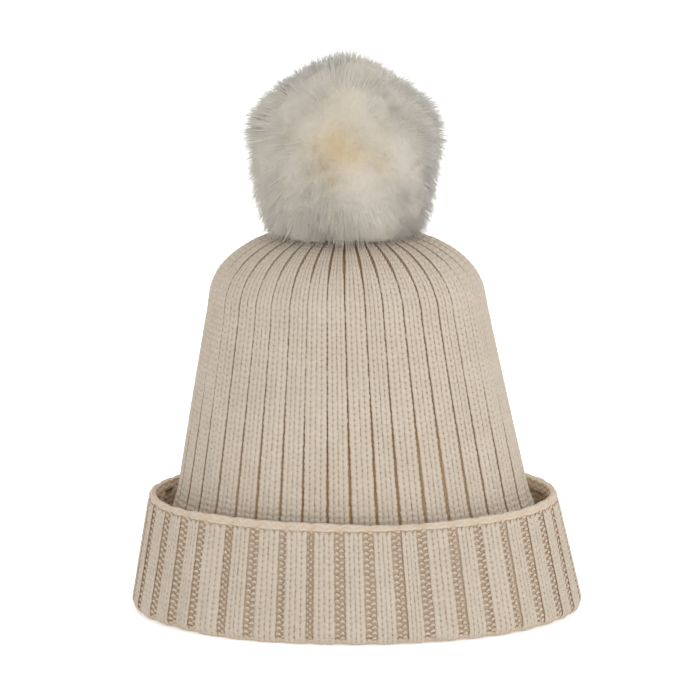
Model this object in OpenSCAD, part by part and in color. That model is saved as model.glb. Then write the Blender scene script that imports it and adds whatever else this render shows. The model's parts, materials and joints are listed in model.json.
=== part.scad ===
// Ribbed knit winter hat with a turned-up cuff and a fur pompom tied on at the crown.
// The hat stands on its rim. The origin is the middle of the rim, +Z is up and the front
// looks along -Y. All sizes are millimetres.

/* [Overall] */
// Width across the rim of the cuff
rim_w = 222; // [185:1:270]
// Depth across the rim, front to back
rim_d = 168; // [140:1:205]
// Height of the knitted body, from the rim to the closed top
hat_h = 190; // [150:1:240]
// Sideways drift of the top of the crown
lean = -5.5; // [-10:0.5:10]

/* [Crown] */
// Width of the crown where it leaves the cuff
crown_w = 173; // [140:1:208]
// Depth of the crown where it leaves the cuff
crown_d = 137; // [110:1:165]
// Width of the crown at its shoulder
shoulder_w = 137; // [110:1:165]
// Depth of the crown at its shoulder
shoulder_d = 116; // [95:1:140]
// Height of the rounded top above the shoulder
shoulder_h = 40; // [25:1:60]
// Radius of the gathered hole at the very top
hole_r = 4.5; // [4:0.1:8]

/* [Knit] */
// Number of ribs around the hat, an even number
rib_count = 40; // [24:2:56]
// Thickness of the knitted fabric
knit_t = 2.8; // [2:0.1:4]
// Depth of the groove between two ribs
groove = 1.6; // [0.4:0.1:2.4]

/* [Cuff] */
// Height of the turned-up cuff
cuff_h = 58; // [40:1:80]
// Gap between the crown and the cuff's top edge at the sides
cuff_stand = 9; // [3:0.5:14]
// The same gap at the front and the back
cuff_stand_front = 4.5; // [3:0.5:14]
// Gap between the crown and the cuff at the fold
fold_gap = 1.2; // [0.8:0.1:3]
// Height of the fold, where the cuff turns over
fold_h = 6; // [4:0.5:10]

/* [Seams] */
// Width of the sewn seam ridge inside the back
seam_w = 5; // [3:0.5:8]
// Thickness of the seam ridge
seam_t = 1.2; // [0.8:0.1:1.6]
// Radius of the yarn that gathers the top
yarn_r = 1.2; // [0.8:0.1:1.6]

/* [Care label] */
// Length of the label from its sewn edge
label_l = 28; // [18:1:36]
// Height of the label along the seam
label_h = 38; // [20:1:44]
// Thickness of the label
label_t = 0.8; // [0.6:0.1:1.2]
// Gap between the top edge of the cuff and the label
label_rise = 8; // [4:1:30]
// Angle between the label and the back wall when it lies flat
label_rest = 9; // [9:1:15]
// Radius of the row of stitches that holds the label
stitch_r = 0.5; // [0.4:0.1:0.8]

/* [Pompom] */
// Radius of the fur ball at its widest
fur_r = 50; // [40:1:60]
// Height of the fur ball above its widest point
fur_top = 47; // [38:1:60]
// Depth that the fur ball would reach below its widest point
fur_bottom = 64; // [50:1:76]
// Height of the fur ball's widest point above the top of the crown
fur_lift = 37; // [34:1:50]
// Gap between the top of the crown and the middle of the fur ball's underside
fur_gap = 7.4; // [7:0.2:10]
// Rise of that underside from its middle to its edge
fur_rise = 2.5; // [2:0.1:5]
// Outer radius of the cloth ball that the fur grows from
backing_r = 27; // [20:0.5:27]
// Thickness of that cloth
backing_t = 1.6; // [1:0.1:2.5]

/* [Tie] */
// Radius of the thread-wrapped shank in the hole
shank_r = 3; // [2.5:0.1:3.6]
// Radius of the cord that holds the pompom
cord_r = 2; // [1.5:0.1:2.2]
// Radius of each cord end below the crown
strand_r = 1.1; // [0.8:0.1:1.3]
// Radius of the flat button under the crown
button_r = 10; // [8:0.5:14]
// Thickness of that button
button_t = 3; // [2.6:0.1:4]
// Radius of the flat button inside the pompom
anchor_r = 7.5; // [6:0.5:9]
// Thickness of that button
anchor_t = 2.4; // [1.8:0.1:3]
// Radius of the drawstring that closes the pompom
drawstring_r = 0.9; // [0.6:0.1:1.1]

/* [Hidden] */

cream = [0.91, 0.87, 0.78];
ivory = [0.95, 0.92, 0.84];
thread = [0.86, 0.80, 0.68];
horn = [0.80, 0.72, 0.58];
satin = [0.97, 0.97, 0.96];

round_facets = 64;
shoulder_rows = 7;
shoulder_power = 2.2;    // 2 would be an ellipse, more is squarer
seat_gap = 0.15;         // between pieces that lie on each other
soft_gap = 0.3;          // between pieces that turn past each other
bore_gap = 0.2;          // around a cord in its hole

// The crown's outline, worked out from the driving sizes
shoulder_z = hat_h - shoulder_h;
knit_wall = knit_t + groove;
crown_fold = [rim_w / 2 - knit_wall - fold_gap, rim_d / 2 - knit_wall - fold_gap];
crown_foot = [crown_w / 2, crown_d / 2];
shoulder = [shoulder_w / 2, shoulder_d / 2];
hole = [hole_r, hole_r];
rim = [rim_w / 2, rim_d / 2];
cuff_top = crown_foot + [cuff_stand + knit_wall, cuff_stand_front + knit_wall];

// The pompom and its tie share one axis through the hole
pivot_z = hat_h - knit_t / 2;
socket_r = shank_r + soft_gap;
fur_z = hat_h + fur_lift;
fur_floor_z = hat_h + fur_gap;
neck_r = cord_r + bore_gap;
neck_wall_r = neck_r + backing_t;
neck_z = fur_floor_z + 0.5;
anchor_z = fur_z - sqrt(pow(backing_r - backing_t, 2) - pow(anchor_r, 2)) + soft_gap;
button_z = hat_h - knit_t - button_fall() - seat_gap - button_t;
strand_x = 2;
knot_r = 4;
loop_knot_r = 3.2;

// The back wall's slope between the cuff and the shoulder
back_slope = atan((crown_foot.y - shoulder.y) / (shoulder_z - cuff_h));
label_z = cuff_h + label_rise;
label_y = mix(crown_foot.y, shoulder.y, (label_z - cuff_h) / (shoulder_z - cuff_h))
    - knit_wall - 2 * seat_gap - seam_t - stitch_r;

function mix(a, b, t) = a + (b - a) * t;

// How far the crown's middle has drifted sideways at height z
function drift(z) = lean * max(0, z - fold_h) / (hat_h - fold_h);

// A ring of the knitting: [half sizes, height, groove depth, drift].
// A positive groove is cut between the ribs, and a negative one is cut on them, as on the
// wrong side of the fabric.
function ring(half, z, cut) = [half, z, cut, drift(z)];

// Point k of a ring. The second angle term spaces the ribs evenly along the oval.
function ring_point(r, k) =
    let (step = 180 / rib_count,
         s = 90 + step * (k + 1),
         t = s + (rim_w - rim_d) / (rim_w + rim_d) / 2 * 180 / PI * sin(2 * s),
         inset = k % 2 == 1 ? max(r[2], 0) : max(-r[2], 0))
    [(r[0].x - inset) * cos(t) + r[3], (r[0].y - inset) * sin(t), r[1]];

// A closed band of knitting through rings that run once round the fabric's own section
module knit_shell(rings) {
    n = 2 * rib_count;
    m = len(rings);
    points = [for (r = rings) for (k = [0:n - 1]) ring_point(r, k)];
    faces = [for (i = [0:m - 1]) for (k = [0:n - 1])
        let (j = (i + 1) % m, l = (k + 1) % n)
        each [[i * n + k, j * n + k, j * n + l], [i * n + k, j * n + l, i * n + l]]];
    polyhedron(points, faces, convexity = 6);
}

// The crown's rings from the fold to the hole, moved inwards by inset
function crown_rings(inset) = concat(
    [ring(crown_fold - inset * [1, 1], fold_h, groove),
     ring(crown_foot - inset * [1, 1], cuff_h, groove),
     ring(shoulder - inset * [1, 1], shoulder_z, groove)],
    [for (i = [1:shoulder_rows])
        let (a = 90 * i / shoulder_rows,
             across = pow(max(cos(a), 0), 2 / shoulder_power),
             up = pow(sin(a), 2 / shoulder_power))
        ring(mix(hole, shoulder - inset * [1, 1], across),
             mix(shoulder_z, hat_h - inset, up), groove * across)]);

// How far the crown's underside falls from the hole to the edge of the button under it
function button_fall() =
    let (next = crown_rings(knit_t)[shoulder_rows + 1],
         slope = (hat_h - knit_t - next[1]) / (min(next[0]) - groove - hole_r))
    slope * (button_r - hole_r);

function reversed(list) = [for (i = [len(list) - 1:-1:0]) list[i]];

module crown_tube() {
    color(cream)
        knit_shell(concat(crown_rings(0), reversed(crown_rings(knit_t))));
}

// The cuff is the fabric folded up outside the crown, wrong side out
module turned_cuff() {
    edge_r = knit_t / 2;
    stub = crown_fold - knit_t * [1, 1];
    quarter = [0:30:90];
    fold = [for (a = quarter)
        ring(rim - edge_r * (1 - sin(a)) * [1, 1], edge_r * (1 - cos(a)), -groove * a / 90)];
    lip = [for (a = [0:30:180])
        ring(cuff_top - edge_r * (1 - cos(a)) * [1, 1], cuff_h - edge_r * (1 - sin(a)), -groove)];
    gutter = [ring(rim - knit_t * [1, 1], fold_h, -groove),
              ring(crown_fold, fold_h, groove),
              ring(stub, fold_h, groove),
              ring(stub, edge_r, groove),
              ring(stub + edge_r * [1, 1], 0, 0)];
    color(cream)
        knit_shell(concat(fold, lip, gutter));
}

// A flat ridge that runs up the back through stations [outer y, z]
module back_ridge(stations, width, thickness) {
    m = len(stations);
    corners = [[-width / 2, 0], [width / 2, 0], [width / 2, -thickness], [-width / 2, -thickness]];
    points = [for (s = stations) for (c = corners) [c.x + drift(s[1]), s[0] + c.y, s[1]]];
    sides = [for (i = [0:m - 2]) for (k = [0:3])
        let (l = (k + 1) % 4)
        each [[4 * i + k, 4 * i + 4 + k, 4 * i + 4 + l], [4 * i + k, 4 * i + 4 + l, 4 * i + l]]];
    top = 4 * (m - 1);
    color(thread)
        polyhedron(points, concat(sides, [[0, 1, 2, 3], [top + 3, top + 2, top + 1, top]]));
}

// The crown's seam allowance, sewn flat inside the back
module back_seam() {
    last_row = 6;
    rings = crown_rings(knit_t);
    back_ridge([for (i = [0:last_row]) [rings[i][0].y - groove - seat_gap, rings[i][1]]],
               seam_w, seam_t);
}

// The same seam carried on up the cuff, between the cuff and the crown
module cuff_seam() {
    low_z = cuff_h * 0.4;
    high_z = cuff_h - 4;
    foot_y = rim.y - knit_t;
    head_y = cuff_top.y - knit_t;
    back_ridge([for (z = [low_z, high_z])
        [mix(foot_y, head_y, (z - fold_h) / (cuff_h - fold_h)) - groove - seat_gap, z]],
        seam_w, seam_t);
}

module torus(ring_r, tube_r) {
    rotate_extrude($fn = round_facets)
        translate([ring_r, 0])
            circle(r = tube_r, $fn = 24);
}

// The end of the yarn, drawn tight round the last row of loops
module gather_yarn() {
    color(cream)
        translate([lean, 0, hat_h + yarn_r + seat_gap])
            torus(hole_r + yarn_r + soft_gap, yarn_r);
}

// Everything on the tie is drawn about the shank's centre, the point it tips about
module at_pivot() {
    translate([lean, 0, pivot_z])
        children();
}

// The round space that the shank turns in
module socket() {
    sphere(r = socket_r, $fn = round_facets);
}

module inner_button() {
    color(horn)
        at_pivot() difference() {
            translate([0, 0, button_z - pivot_z])
                cylinder(r = button_r, h = button_t, $fn = round_facets);
            socket();
            for (side = [-1, 1])
                translate([side * strand_x, 0, button_z - pivot_z - 1])
                    cylinder(r = strand_r + bore_gap, h = button_t + 2, $fn = 32);
        }
}

// Two cord ends from the shank, through the button and into one knot below it
module tie_knot() {
    knot_z = button_z - pivot_z - soft_gap - knot_r;
    color(thread)
        at_pivot() difference() {
            union() {
                translate([0, 0, knot_z])
                    sphere(r = knot_r, $fn = round_facets);
                for (side = [-1, 1])
                    translate([side * strand_x, 0, knot_z])
                        cylinder(r = strand_r, h = -knot_z - 1, $fn = 32);
            }
            socket();
        }
}

module tie_shank() {
    color(thread)
        at_pivot()
            sphere(r = shank_r, $fn = round_facets);
}

// The doubled cord from the shank up through the anchor button, with its knot on top
module tie_loop() {
    top_z = anchor_z + anchor_t + soft_gap + loop_knot_r - pivot_z;
    color(thread)
        at_pivot() difference() {
            union() {
                cylinder(r = cord_r, h = top_z, $fn = round_facets);
                translate([0, 0, top_z])
                    sphere(r = loop_knot_r, $fn = round_facets);
            }
            socket();
        }
}

module anchor_button() {
    color(horn)
        translate([lean, 0, anchor_z]) difference() {
            cylinder(r = anchor_r, h = anchor_t, $fn = round_facets);
            translate([0, 0, -1])
                cylinder(r = cord_r + bore_gap, h = anchor_t + 2, $fn = round_facets);
        }
}

// The label's own frame: z along its row of stitches, up the sloping back wall
module at_label() {
    translate([drift(label_z + label_h / 2), label_y, label_z])
        rotate([back_slope, 0, 0])
            children();
}

module label_stitches() {
    color(thread)
        at_label()
            cylinder(r = stitch_r, h = label_h, $fn = 24);
}

module care_label() {
    sewn_edge = stitch_r + soft_gap;
    color(satin)
        at_label()
            rotate([0, 0, label_rest])
                translate([-sewn_edge - label_l, -label_t / 2, 0])
                    cube([label_l, label_t, label_h]);
}

// Half section of the fur ball, hollowed below so that it clears the crown as it tips
module fur_section() {
    arc_step = 7.5;
    floor_angle = asin((fur_z - fur_floor_z - fur_rise) / fur_bottom);
    lower = [for (i = [0:6])
        let (a = floor_angle * (1 - i / 6))
        [fur_r * cos(a), -fur_bottom * sin(a)]];
    upper = [for (a = [arc_step:arc_step:90]) [fur_r * max(cos(a), 0), fur_top * sin(a)]];
    polygon(concat([[0, fur_floor_z - fur_z]], lower, upper));
}

module fur_pile() {
    opening_r = neck_wall_r + 2 * drawstring_r + 2 * soft_gap;
    color(ivory)
        translate([lean, 0, fur_z]) difference() {
            rotate_extrude($fn = 96)
                fur_section();
            sphere(r = backing_r + soft_gap, $fn = 96);
            translate([0, 0, -fur_bottom])
                cylinder(r = opening_r, h = fur_bottom, $fn = round_facets);
        }
}

// The cloth that carries the fur, drawn in to a short neck round the cord
module fur_backing() {
    color(thread)
        translate([lean, 0, fur_z]) difference() {
            union() {
                sphere(r = backing_r, $fn = 96);
                translate([0, 0, neck_z - fur_z])
                    cylinder(r = neck_wall_r, h = fur_z - neck_z, $fn = round_facets);
            }
            sphere(r = backing_r - backing_t, $fn = 96);
            translate([0, 0, -fur_bottom])
                cylinder(r = neck_r, h = fur_bottom, $fn = round_facets);
        }
}

module stuffing() {
    well_r = anchor_r + soft_gap;
    well_top = anchor_z + anchor_t + 2 * (soft_gap + loop_knot_r) - fur_z;
    color(satin)
        translate([lean, 0, fur_z]) difference() {
            sphere(r = backing_r - backing_t - seat_gap, $fn = 96);
            translate([0, 0, well_top - fur_bottom])
                cylinder(r = well_r, h = fur_bottom, $fn = round_facets);
        }
}

module drawstring() {
    color(thread)
        translate([lean, 0, neck_z + drawstring_r])
            torus(neck_wall_r + drawstring_r + seat_gap, drawstring_r);
}

crown_tube();
turned_cuff();
back_seam();
cuff_seam();
gather_yarn();
inner_button();
tie_knot();
label_stitches();
care_label();
tie_shank();
tie_loop();
anchor_button();
fur_pile();
fur_backing();
stuffing();
drawstring();
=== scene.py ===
"""A rib-knit winter hat with a turned-up cuff and a fur pompom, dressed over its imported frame."""

import json
import math
from itertools import repeat
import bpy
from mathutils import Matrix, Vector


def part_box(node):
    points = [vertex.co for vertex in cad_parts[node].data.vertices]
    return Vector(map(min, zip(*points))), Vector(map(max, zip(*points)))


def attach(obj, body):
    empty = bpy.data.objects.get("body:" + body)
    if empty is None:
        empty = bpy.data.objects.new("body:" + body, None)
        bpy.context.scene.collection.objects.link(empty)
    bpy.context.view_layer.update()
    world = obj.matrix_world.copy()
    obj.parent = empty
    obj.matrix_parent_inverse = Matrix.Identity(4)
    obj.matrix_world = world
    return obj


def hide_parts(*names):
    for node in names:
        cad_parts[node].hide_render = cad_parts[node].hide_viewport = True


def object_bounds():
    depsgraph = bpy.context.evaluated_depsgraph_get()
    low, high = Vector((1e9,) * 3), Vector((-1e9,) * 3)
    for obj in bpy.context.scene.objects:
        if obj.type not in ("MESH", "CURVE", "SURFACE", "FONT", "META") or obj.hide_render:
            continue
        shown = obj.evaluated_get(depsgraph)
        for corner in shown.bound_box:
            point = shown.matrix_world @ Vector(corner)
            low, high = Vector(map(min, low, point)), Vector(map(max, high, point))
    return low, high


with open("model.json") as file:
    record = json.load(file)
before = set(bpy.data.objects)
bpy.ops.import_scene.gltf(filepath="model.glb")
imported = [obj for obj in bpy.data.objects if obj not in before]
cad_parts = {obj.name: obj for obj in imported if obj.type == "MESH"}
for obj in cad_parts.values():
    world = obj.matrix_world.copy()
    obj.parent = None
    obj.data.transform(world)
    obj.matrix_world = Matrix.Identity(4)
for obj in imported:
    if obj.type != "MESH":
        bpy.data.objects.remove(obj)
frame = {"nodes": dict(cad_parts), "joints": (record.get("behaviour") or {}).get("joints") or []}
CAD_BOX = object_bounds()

from types import SimpleNamespace

import bmesh
import bpy
import numpy as np
from mathutils import Euler, Matrix, Vector, kdtree

bl_info = {
    "name": "Ribbed winter hat",
    "version": (1, 0, 0),
    "blender": (4, 5, 0),
    "location": "3D View > Sidebar > Hat",
    "description": "Knits, gathers, labels and trims a cuffed winter hat around its frame",
    "category": "Object",
}

MM = 0.001
FULL_TURN = 2 * math.pi

# ---------------------------------------------------------------------------------------
# Sizes and colours
# ---------------------------------------------------------------------------------------


def length(name, description, default):
    """A length property, given here in millimetres."""
    return bpy.props.FloatProperty(
        name=name, description=description, default=default * MM, unit="LENGTH", precision=5
    )


def share(name, description, default):
    return bpy.props.FloatProperty(
        name=name, description=description, default=default, min=0.0, max=1.0, subtype="FACTOR"
    )


def colour(name, description, default):
    return bpy.props.FloatVectorProperty(
        name=name, description=description, default=default, size=3, min=0.0, max=1.0, subtype="COLOR"
    )


def count(name, description, default):
    return bpy.props.IntProperty(name=name, description=description, default=default, min=1)


class HatKnitSettings(bpy.types.PropertyGroup):
    """Gauge and colours of the ribbed fabric."""

    ribs: count("Ribs", "Ribs around the hat", 40)
    row: length("Row height", "Height of one row of stitches", 2.85)
    rib_depth: length("Rib depth", "How far the purl grooves lie below the ribs", 1.9)
    cuff_depth: length("Cuff rib depth", "The same on the stretched cuff", 0.85)
    yarn_depth: length("Yarn depth", "How far a stitch stands out of the fabric", 1.05)
    crown_share: share("Crown rib share", "Share of a rib's pitch that is knit on the crown", 0.95)
    crown_opening: share("Crown opening", "How much the ribs spread apart just above the cuff", 0.07)
    crown_gather: share("Crown gathering", "How much they draw apart under the pompom", 0.16)
    cuff_share: share("Cuff rib share", "Share of a rib's pitch that is knit on the cuff", 0.62)
    edge: length("Edge", "Height of the smooth band along the cuff's edges", 5.0)
    fold_round: length("Fold radius", "Radius of the rounded fold at the rim", 4.6)
    yarn_colour: colour("Yarn", "Colour of the yarn", (0.80, 0.725, 0.625))
    # Painted shade: the colour that the grooves and the low parts of the stitches are tinted towards.
    painted_shade_colour: colour("Shaded yarn", "Colour of the yarn down in the grooves", (0.70, 0.44, 0.17))
    seed: count("Seed", "Seed of the hand-made unevenness", 7)


class HatFurSettings(bpy.types.PropertyGroup):
    """The pompom's pile."""

    hairs: count("Hairs", "Number of hairs", 52000)
    locks: count("Locks", "Number of locks that the hairs gather in", 900)
    wisps: count("Wisps", "Number of small wisps within the locks", 6000)
    hair_radius: length("Hair radius", "Radius of a hair at its root", 0.125)
    underfur: share("Underfur", "How far the dense underfur reaches, as a share of the pile", 0.80)
    fall: length("Fall", "How far the longest hairs hang below the middle", 49.0)
    clearance: length("Clearance", "Gap between the hanging hairs and the crown", 1.5)
    comb: share("Comb", "How far the pile leans away from its parting", 0.55)
    cling: share("Cling", "How closely the hairs of a lock draw together at its tip", 0.22)
    tip_colour: colour("Tips", "Colour of the hair tips", (0.985, 0.94, 0.87))
    # Partly the hair's own warmer colour near the cloth, partly painted shade deep in the pile.
    root_colour_and_shade: colour("Roots", "Colour of the hair near the cloth", (1.0, 0.87, 0.60))
    seed: count("Seed", "Seed of the hair's scatter", 11)


class HatTrimSettings(bpy.types.PropertyGroup):
    """Seams, cords, label and buttons."""

    thread_colour: colour("Thread", "Colour of sewing thread and cords", (0.72, 0.63, 0.48))
    label_colour: colour("Label", "Colour of the blank woven label", (0.88, 0.87, 0.84))
    button_colour: colour("Buttons", "Colour of the two flat buttons", (0.62, 0.50, 0.34))
    backing_colour: colour("Backing", "Colour of the cloth under the fur", (0.78, 0.70, 0.55))
    wadding_colour: colour("Wadding", "Colour of the stuffing", (0.88, 0.88, 0.86))


class HatStageSettings(bpy.types.PropertyGroup):
    """Floor, lights and camera."""

    elevation: bpy.props.FloatProperty(
        name="Elevation",
        description="Height of the view above level",
        default=math.radians(11.0),
        subtype="ANGLE",
    )
    distance: bpy.props.FloatProperty(
        name="Distance", description="From the camera to the hat", default=2.6, unit="LENGTH"
    )
    focal: bpy.props.FloatProperty(
        name="Focal length", description="In millimetres, on a 36 mm wide sensor", default=274.0
    )
    floor_colour: colour("Floor", "Colour of the floor", (0.94, 0.94, 0.945))


# ---------------------------------------------------------------------------------------
# Node trees
# ---------------------------------------------------------------------------------------


class Value:
    """A socket that can be used in sums; each operation adds a Math node."""

    def __init__(self, nodes, socket):
        self.nodes = nodes
        self.socket = socket

    def out(self, name):
        """Another output of the same node."""
        return Value(self.nodes, self.socket.node.outputs[name])

    def math(self, operation, a, b=0.0):
        return self.nodes.add("ShaderNodeMath", {"operation": operation}, {0: a, 1: b})

    def __add__(self, other):
        return self.math("ADD", self, other)

    __radd__ = __add__

    def __mul__(self, other):
        return self.math("MULTIPLY", self, other)

    def __sub__(self, other):
        return self.math("SUBTRACT", self, other)

    def __rsub__(self, other):
        return self.math("SUBTRACT", other, self)

    def wave(self):
        """A wave between 0 and 1 that repeats at every whole number."""
        return self.math("SINE", self * FULL_TURN) * 0.5 + 0.5

    def absolute(self):
        return self.math("ABSOLUTE", self)

    def fraction(self):
        return self.math("FRACT", self)

    def smooth(self, low, high):
        """0 below low, 1 above high, and a smooth step between."""
        return self.nodes.add(
            "ShaderNodeMapRange",
            {"interpolation_type": "SMOOTHSTEP"},
            {"Value": self, "From Min": low, "From Max": high},
        )


class Nodes:
    """Adds nodes to one shader or geometry tree."""

    def __init__(self, tree):
        self.tree = tree

    def add(self, kind, settings=None, inputs=None, output=0):
        """A node with its settings made first, then its sockets set or linked."""
        node = self.tree.nodes.new(kind)
        for name, value in (settings or {}).items():
            setattr(node, name, value)
        for key, value in (inputs or {}).items():
            if isinstance(value, Value):
                self.tree.links.new(value.socket, node.inputs[key])
            else:
                node.inputs[key].default_value = value
        return Value(self, node.outputs[output])

    def mix(self, factor, first, second):
        """A mix of two colours."""
        settings = {"data_type": "RGBA", "clamp_factor": True}
        return self.add("ShaderNodeMix", settings, {0: factor, 6: first, 7: second}, output=2)

    def vectors(self, operation, *inputs):
        """A sum, difference or product of vectors."""
        return self.add("ShaderNodeVectorMath", {"operation": operation}, dict(enumerate(inputs)))

    def noise(self, vector, scale, detail=3.0, roughness=0.55):
        return self.add(
            "ShaderNodeTexNoise",
            inputs={"Vector": vector, "Scale": scale, "Detail": detail, "Roughness": roughness},
        )

    def attribute(self, name):
        return self.add("ShaderNodeAttribute", {"attribute_name": name}).out("Fac")

    def uv(self):
        """The piece's own UV map, as separate u and v."""
        uv_map = self.add("ShaderNodeUVMap", {"uv_map": "UVMap"})
        split = self.add("ShaderNodeSeparateXYZ", inputs={0: uv_map})
        return split, split.out("Y")

    def object_place(self):
        return self.add("ShaderNodeTexCoord", output=3)

    def bump(self, height, distance, strength):
        inputs = {"Height": height, "Distance": distance, "Strength": strength}
        return self.add("ShaderNodeBump", inputs=inputs)


def rgba(values, tint=1.0):
    """An opaque colour, made darker or paler by its tint."""
    return (*(min(1.0, value * tint) for value in values), 1.0)


def principled(name, fixed, varying, through=0.0):
    """A material from a Principled shader: fixed socket values, what varies over the surface, and
    the share of light that soft fibres let through."""
    material = bpy.data.materials.new(name)
    material.use_nodes = True
    nodes = Nodes(material.node_tree)
    shader = next(n for n in material.node_tree.nodes if n.type == "BSDF_PRINCIPLED")
    for key, value in fixed.items():
        shader.inputs[key].default_value = value
    changing = varying(nodes)
    for key, value in changing.items():
        material.node_tree.links.new(value.socket, shader.inputs[key])
    if through:
        out = next(n for n in material.node_tree.nodes if n.type == "OUTPUT_MATERIAL")
        passing = nodes.add("ShaderNodeBsdfTranslucent", inputs={"Color": changing["Base Color"]})
        both = nodes.add(
            "ShaderNodeMixShader", inputs={0: through, 1: Value(nodes, shader.outputs[0]), 2: passing}
        )
        material.node_tree.links.new(both.socket, out.inputs["Surface"])
    return material


def made_once(build):
    """Keeps the one material that a function builds."""
    kept = {}

    def material():
        if not kept:
            kept[0] = build()
        return kept[0]

    return material


# ---------------------------------------------------------------------------------------
# Materials
# ---------------------------------------------------------------------------------------


# How brushed fibre takes light.
FIBRE = {"Roughness": 0.95, "Specular IOR Level": 0.08, "Sheen Roughness": 0.6}


@made_once
def yarn_material():
    """Brushed yarn of the stitches: two twisted plies, soft fuzz, patchy tone, and painted shade on the low
    parts of each stitch and between its plies.
    """
    knit = bpy.context.scene.hat_knit

    def varying(n):
        place = n.object_place()
        along, around = n.uv()
        ply = (along * 2.2 + around * 2.0).wave()
        fibre = n.noise(place, 2600.0, 2.0)
        patch = n.noise(place, 38.0, 2.0)
        tone = n.attribute("tone")
        raised = n.attribute("raised")
        light = patch.smooth(0.3, 0.7) * 0.35 + tone * 0.4 + fibre * 0.35
        shade = [c * f for c, f in zip(knit.yarn_colour, (0.93, 0.91, 0.88))]
        pale = [min(1.0, c * f) for c, f in zip(knit.yarn_colour, (1.04, 1.045, 1.05))]
        body = n.mix(light, rgba(shade), rgba(pale))
        # Painted shade: the low parts of each stitch lobe, and the hollows between its plies, are tinted
        # towards the painted shade colour.
        low_part_shade = 1 - raised.smooth(0.2, 0.75)
        base = n.mix(low_part_shade * 0.55 + (1 - ply) * 0.08, body, rgba(knit.painted_shade_colour))
        height = ply * 0.7 + fibre * 0.5
        return {"Base Color": base, "Normal": n.bump(height, 0.00025, 0.7)}

    fixed = {**FIBRE, "Sheen Weight": 0.12, "Sheen Tint": (1.0, 0.97, 0.92, 1.0)}
    return principled("brushed_yarn", fixed, varying, through=0.4)


@made_once
def ground_material():
    """The fabric seen between the stitches and on the wrong side: rows of small purl loops, with painted
    shade between the loops and down in the grooves.
    """
    knit = bpy.context.scene.hat_knit

    def varying(n):
        place = n.object_place()
        wale, row = n.uv()
        column = (wale * 2.0).fraction() - 0.5
        bend = column.absolute() * 0.9
        loop = (row + bend).wave()
        gap = column.absolute().smooth(0.36, 0.5)
        fibre = n.noise(place, 2200.0, 2.0)
        light = loop * 0.55 + fibre * 0.4
        # Painted shade: the groove attribute says how far down in a groove this lies, and there the colour
        # goes towards the painted shade colour.
        deep = n.attribute("groove")
        # Painted shade between the loops as well: the low part of each loop goes towards a mix of the yarn
        # and the painted shade colour.
        between = [0.5 * a + 0.5 * b for a, b in zip(knit.yarn_colour, knit.painted_shade_colour)]
        pale = n.mix(light * 1.3, rgba(between), rgba(knit.yarn_colour))
        base = n.mix(deep * 0.9, pale, rgba(knit.painted_shade_colour))
        height = loop * (1 - gap * 0.7) + fibre * 0.25
        return {"Base Color": base, "Normal": n.bump(height, 0.0007, 0.8)}

    return principled("knit_ground", {**FIBRE, "Sheen Weight": 0.1}, varying, through=0.3)


@made_once
def fur_material():
    """Long soft hair that lets some light through, warmer at its roots: partly its own colour, partly
    painted shade deep in the pile.
    """
    fur = bpy.context.scene.hat_fur

    def varying(n):
        along = n.attribute("along")
        tone = n.attribute("tone")
        # Painted shade: the hair turns towards the root colour near its roots, and more where the pile parts
        # to show them.
        root_shade = (1 - along.smooth(0.3, 0.9)) * 0.35 + n.attribute("warm")
        tips = n.mix(tone, rgba(fur.tip_colour, 0.95), rgba(fur.tip_colour, 1.04))
        return {"Base Color": n.mix(root_shade, tips, rgba(fur.root_colour_and_shade))}

    fixed = {"Roughness": 0.6, "Specular IOR Level": 0.2, "Sheen Weight": 0.1}
    return principled("long_fur", fixed, varying, through=0.6)


@made_once
def underfur_material():
    """The dense short wool under the long hairs, with painted shade of the roots where the pile parts."""
    fur = bpy.context.scene.hat_fur

    def varying(n):
        place = n.object_place()
        tuft = n.noise(place, 700.0, 4.0, 0.7)
        patch = n.noise(place, 60.0, 2.0)
        # Painted shade of the roots at the parting, with random yellow patches.
        yellow = patch.smooth(0.35, 0.65) * 0.15 + n.attribute("warm")
        warm = n.mix(yellow, rgba(fur.tip_colour), rgba(fur.root_colour_and_shade))
        base = n.mix(tuft * 0.3, warm, rgba(fur.root_colour_and_shade, 0.9))
        return {"Base Color": base, "Normal": n.bump(tuft, 0.0012, 0.8)}

    fixed = {"Roughness": 0.9, "Specular IOR Level": 0.1, "Sheen Weight": 0.2}
    return principled("short_underfur", fixed, varying, through=0.5)


def cord_like(name, base_colour, turns):
    """Twisted thread or cord, striped by its plies along the piece's own UV map, with painted shade in the
    hollows between them.
    """

    def varying(n):
        along, around = n.uv()
        ply = (along * turns + around).wave()
        fibre = n.noise(n.object_place(), 3000.0, 2.0)
        # Painted shade: the colour darkens where the bump is low.
        light = ply * 0.6 + fibre * 0.4
        base = n.mix(light, rgba(base_colour, 0.72), rgba(base_colour))
        return {"Base Color": base, "Normal": n.bump(ply * 0.8 + fibre * 0.3, 0.0002, 0.8)}

    fixed = {"Roughness": 0.85, "Specular IOR Level": 0.2, "Sheen Weight": 0.2}
    return principled(name, fixed, varying)


@made_once
def thread_material():
    return cord_like("sewing_thread", bpy.context.scene.hat_trim.thread_colour, 3.0)


@made_once
def cord_material():
    return cord_like("twisted_cord", [c * 1.08 for c in bpy.context.scene.hat_trim.thread_colour], 1.0)


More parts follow.
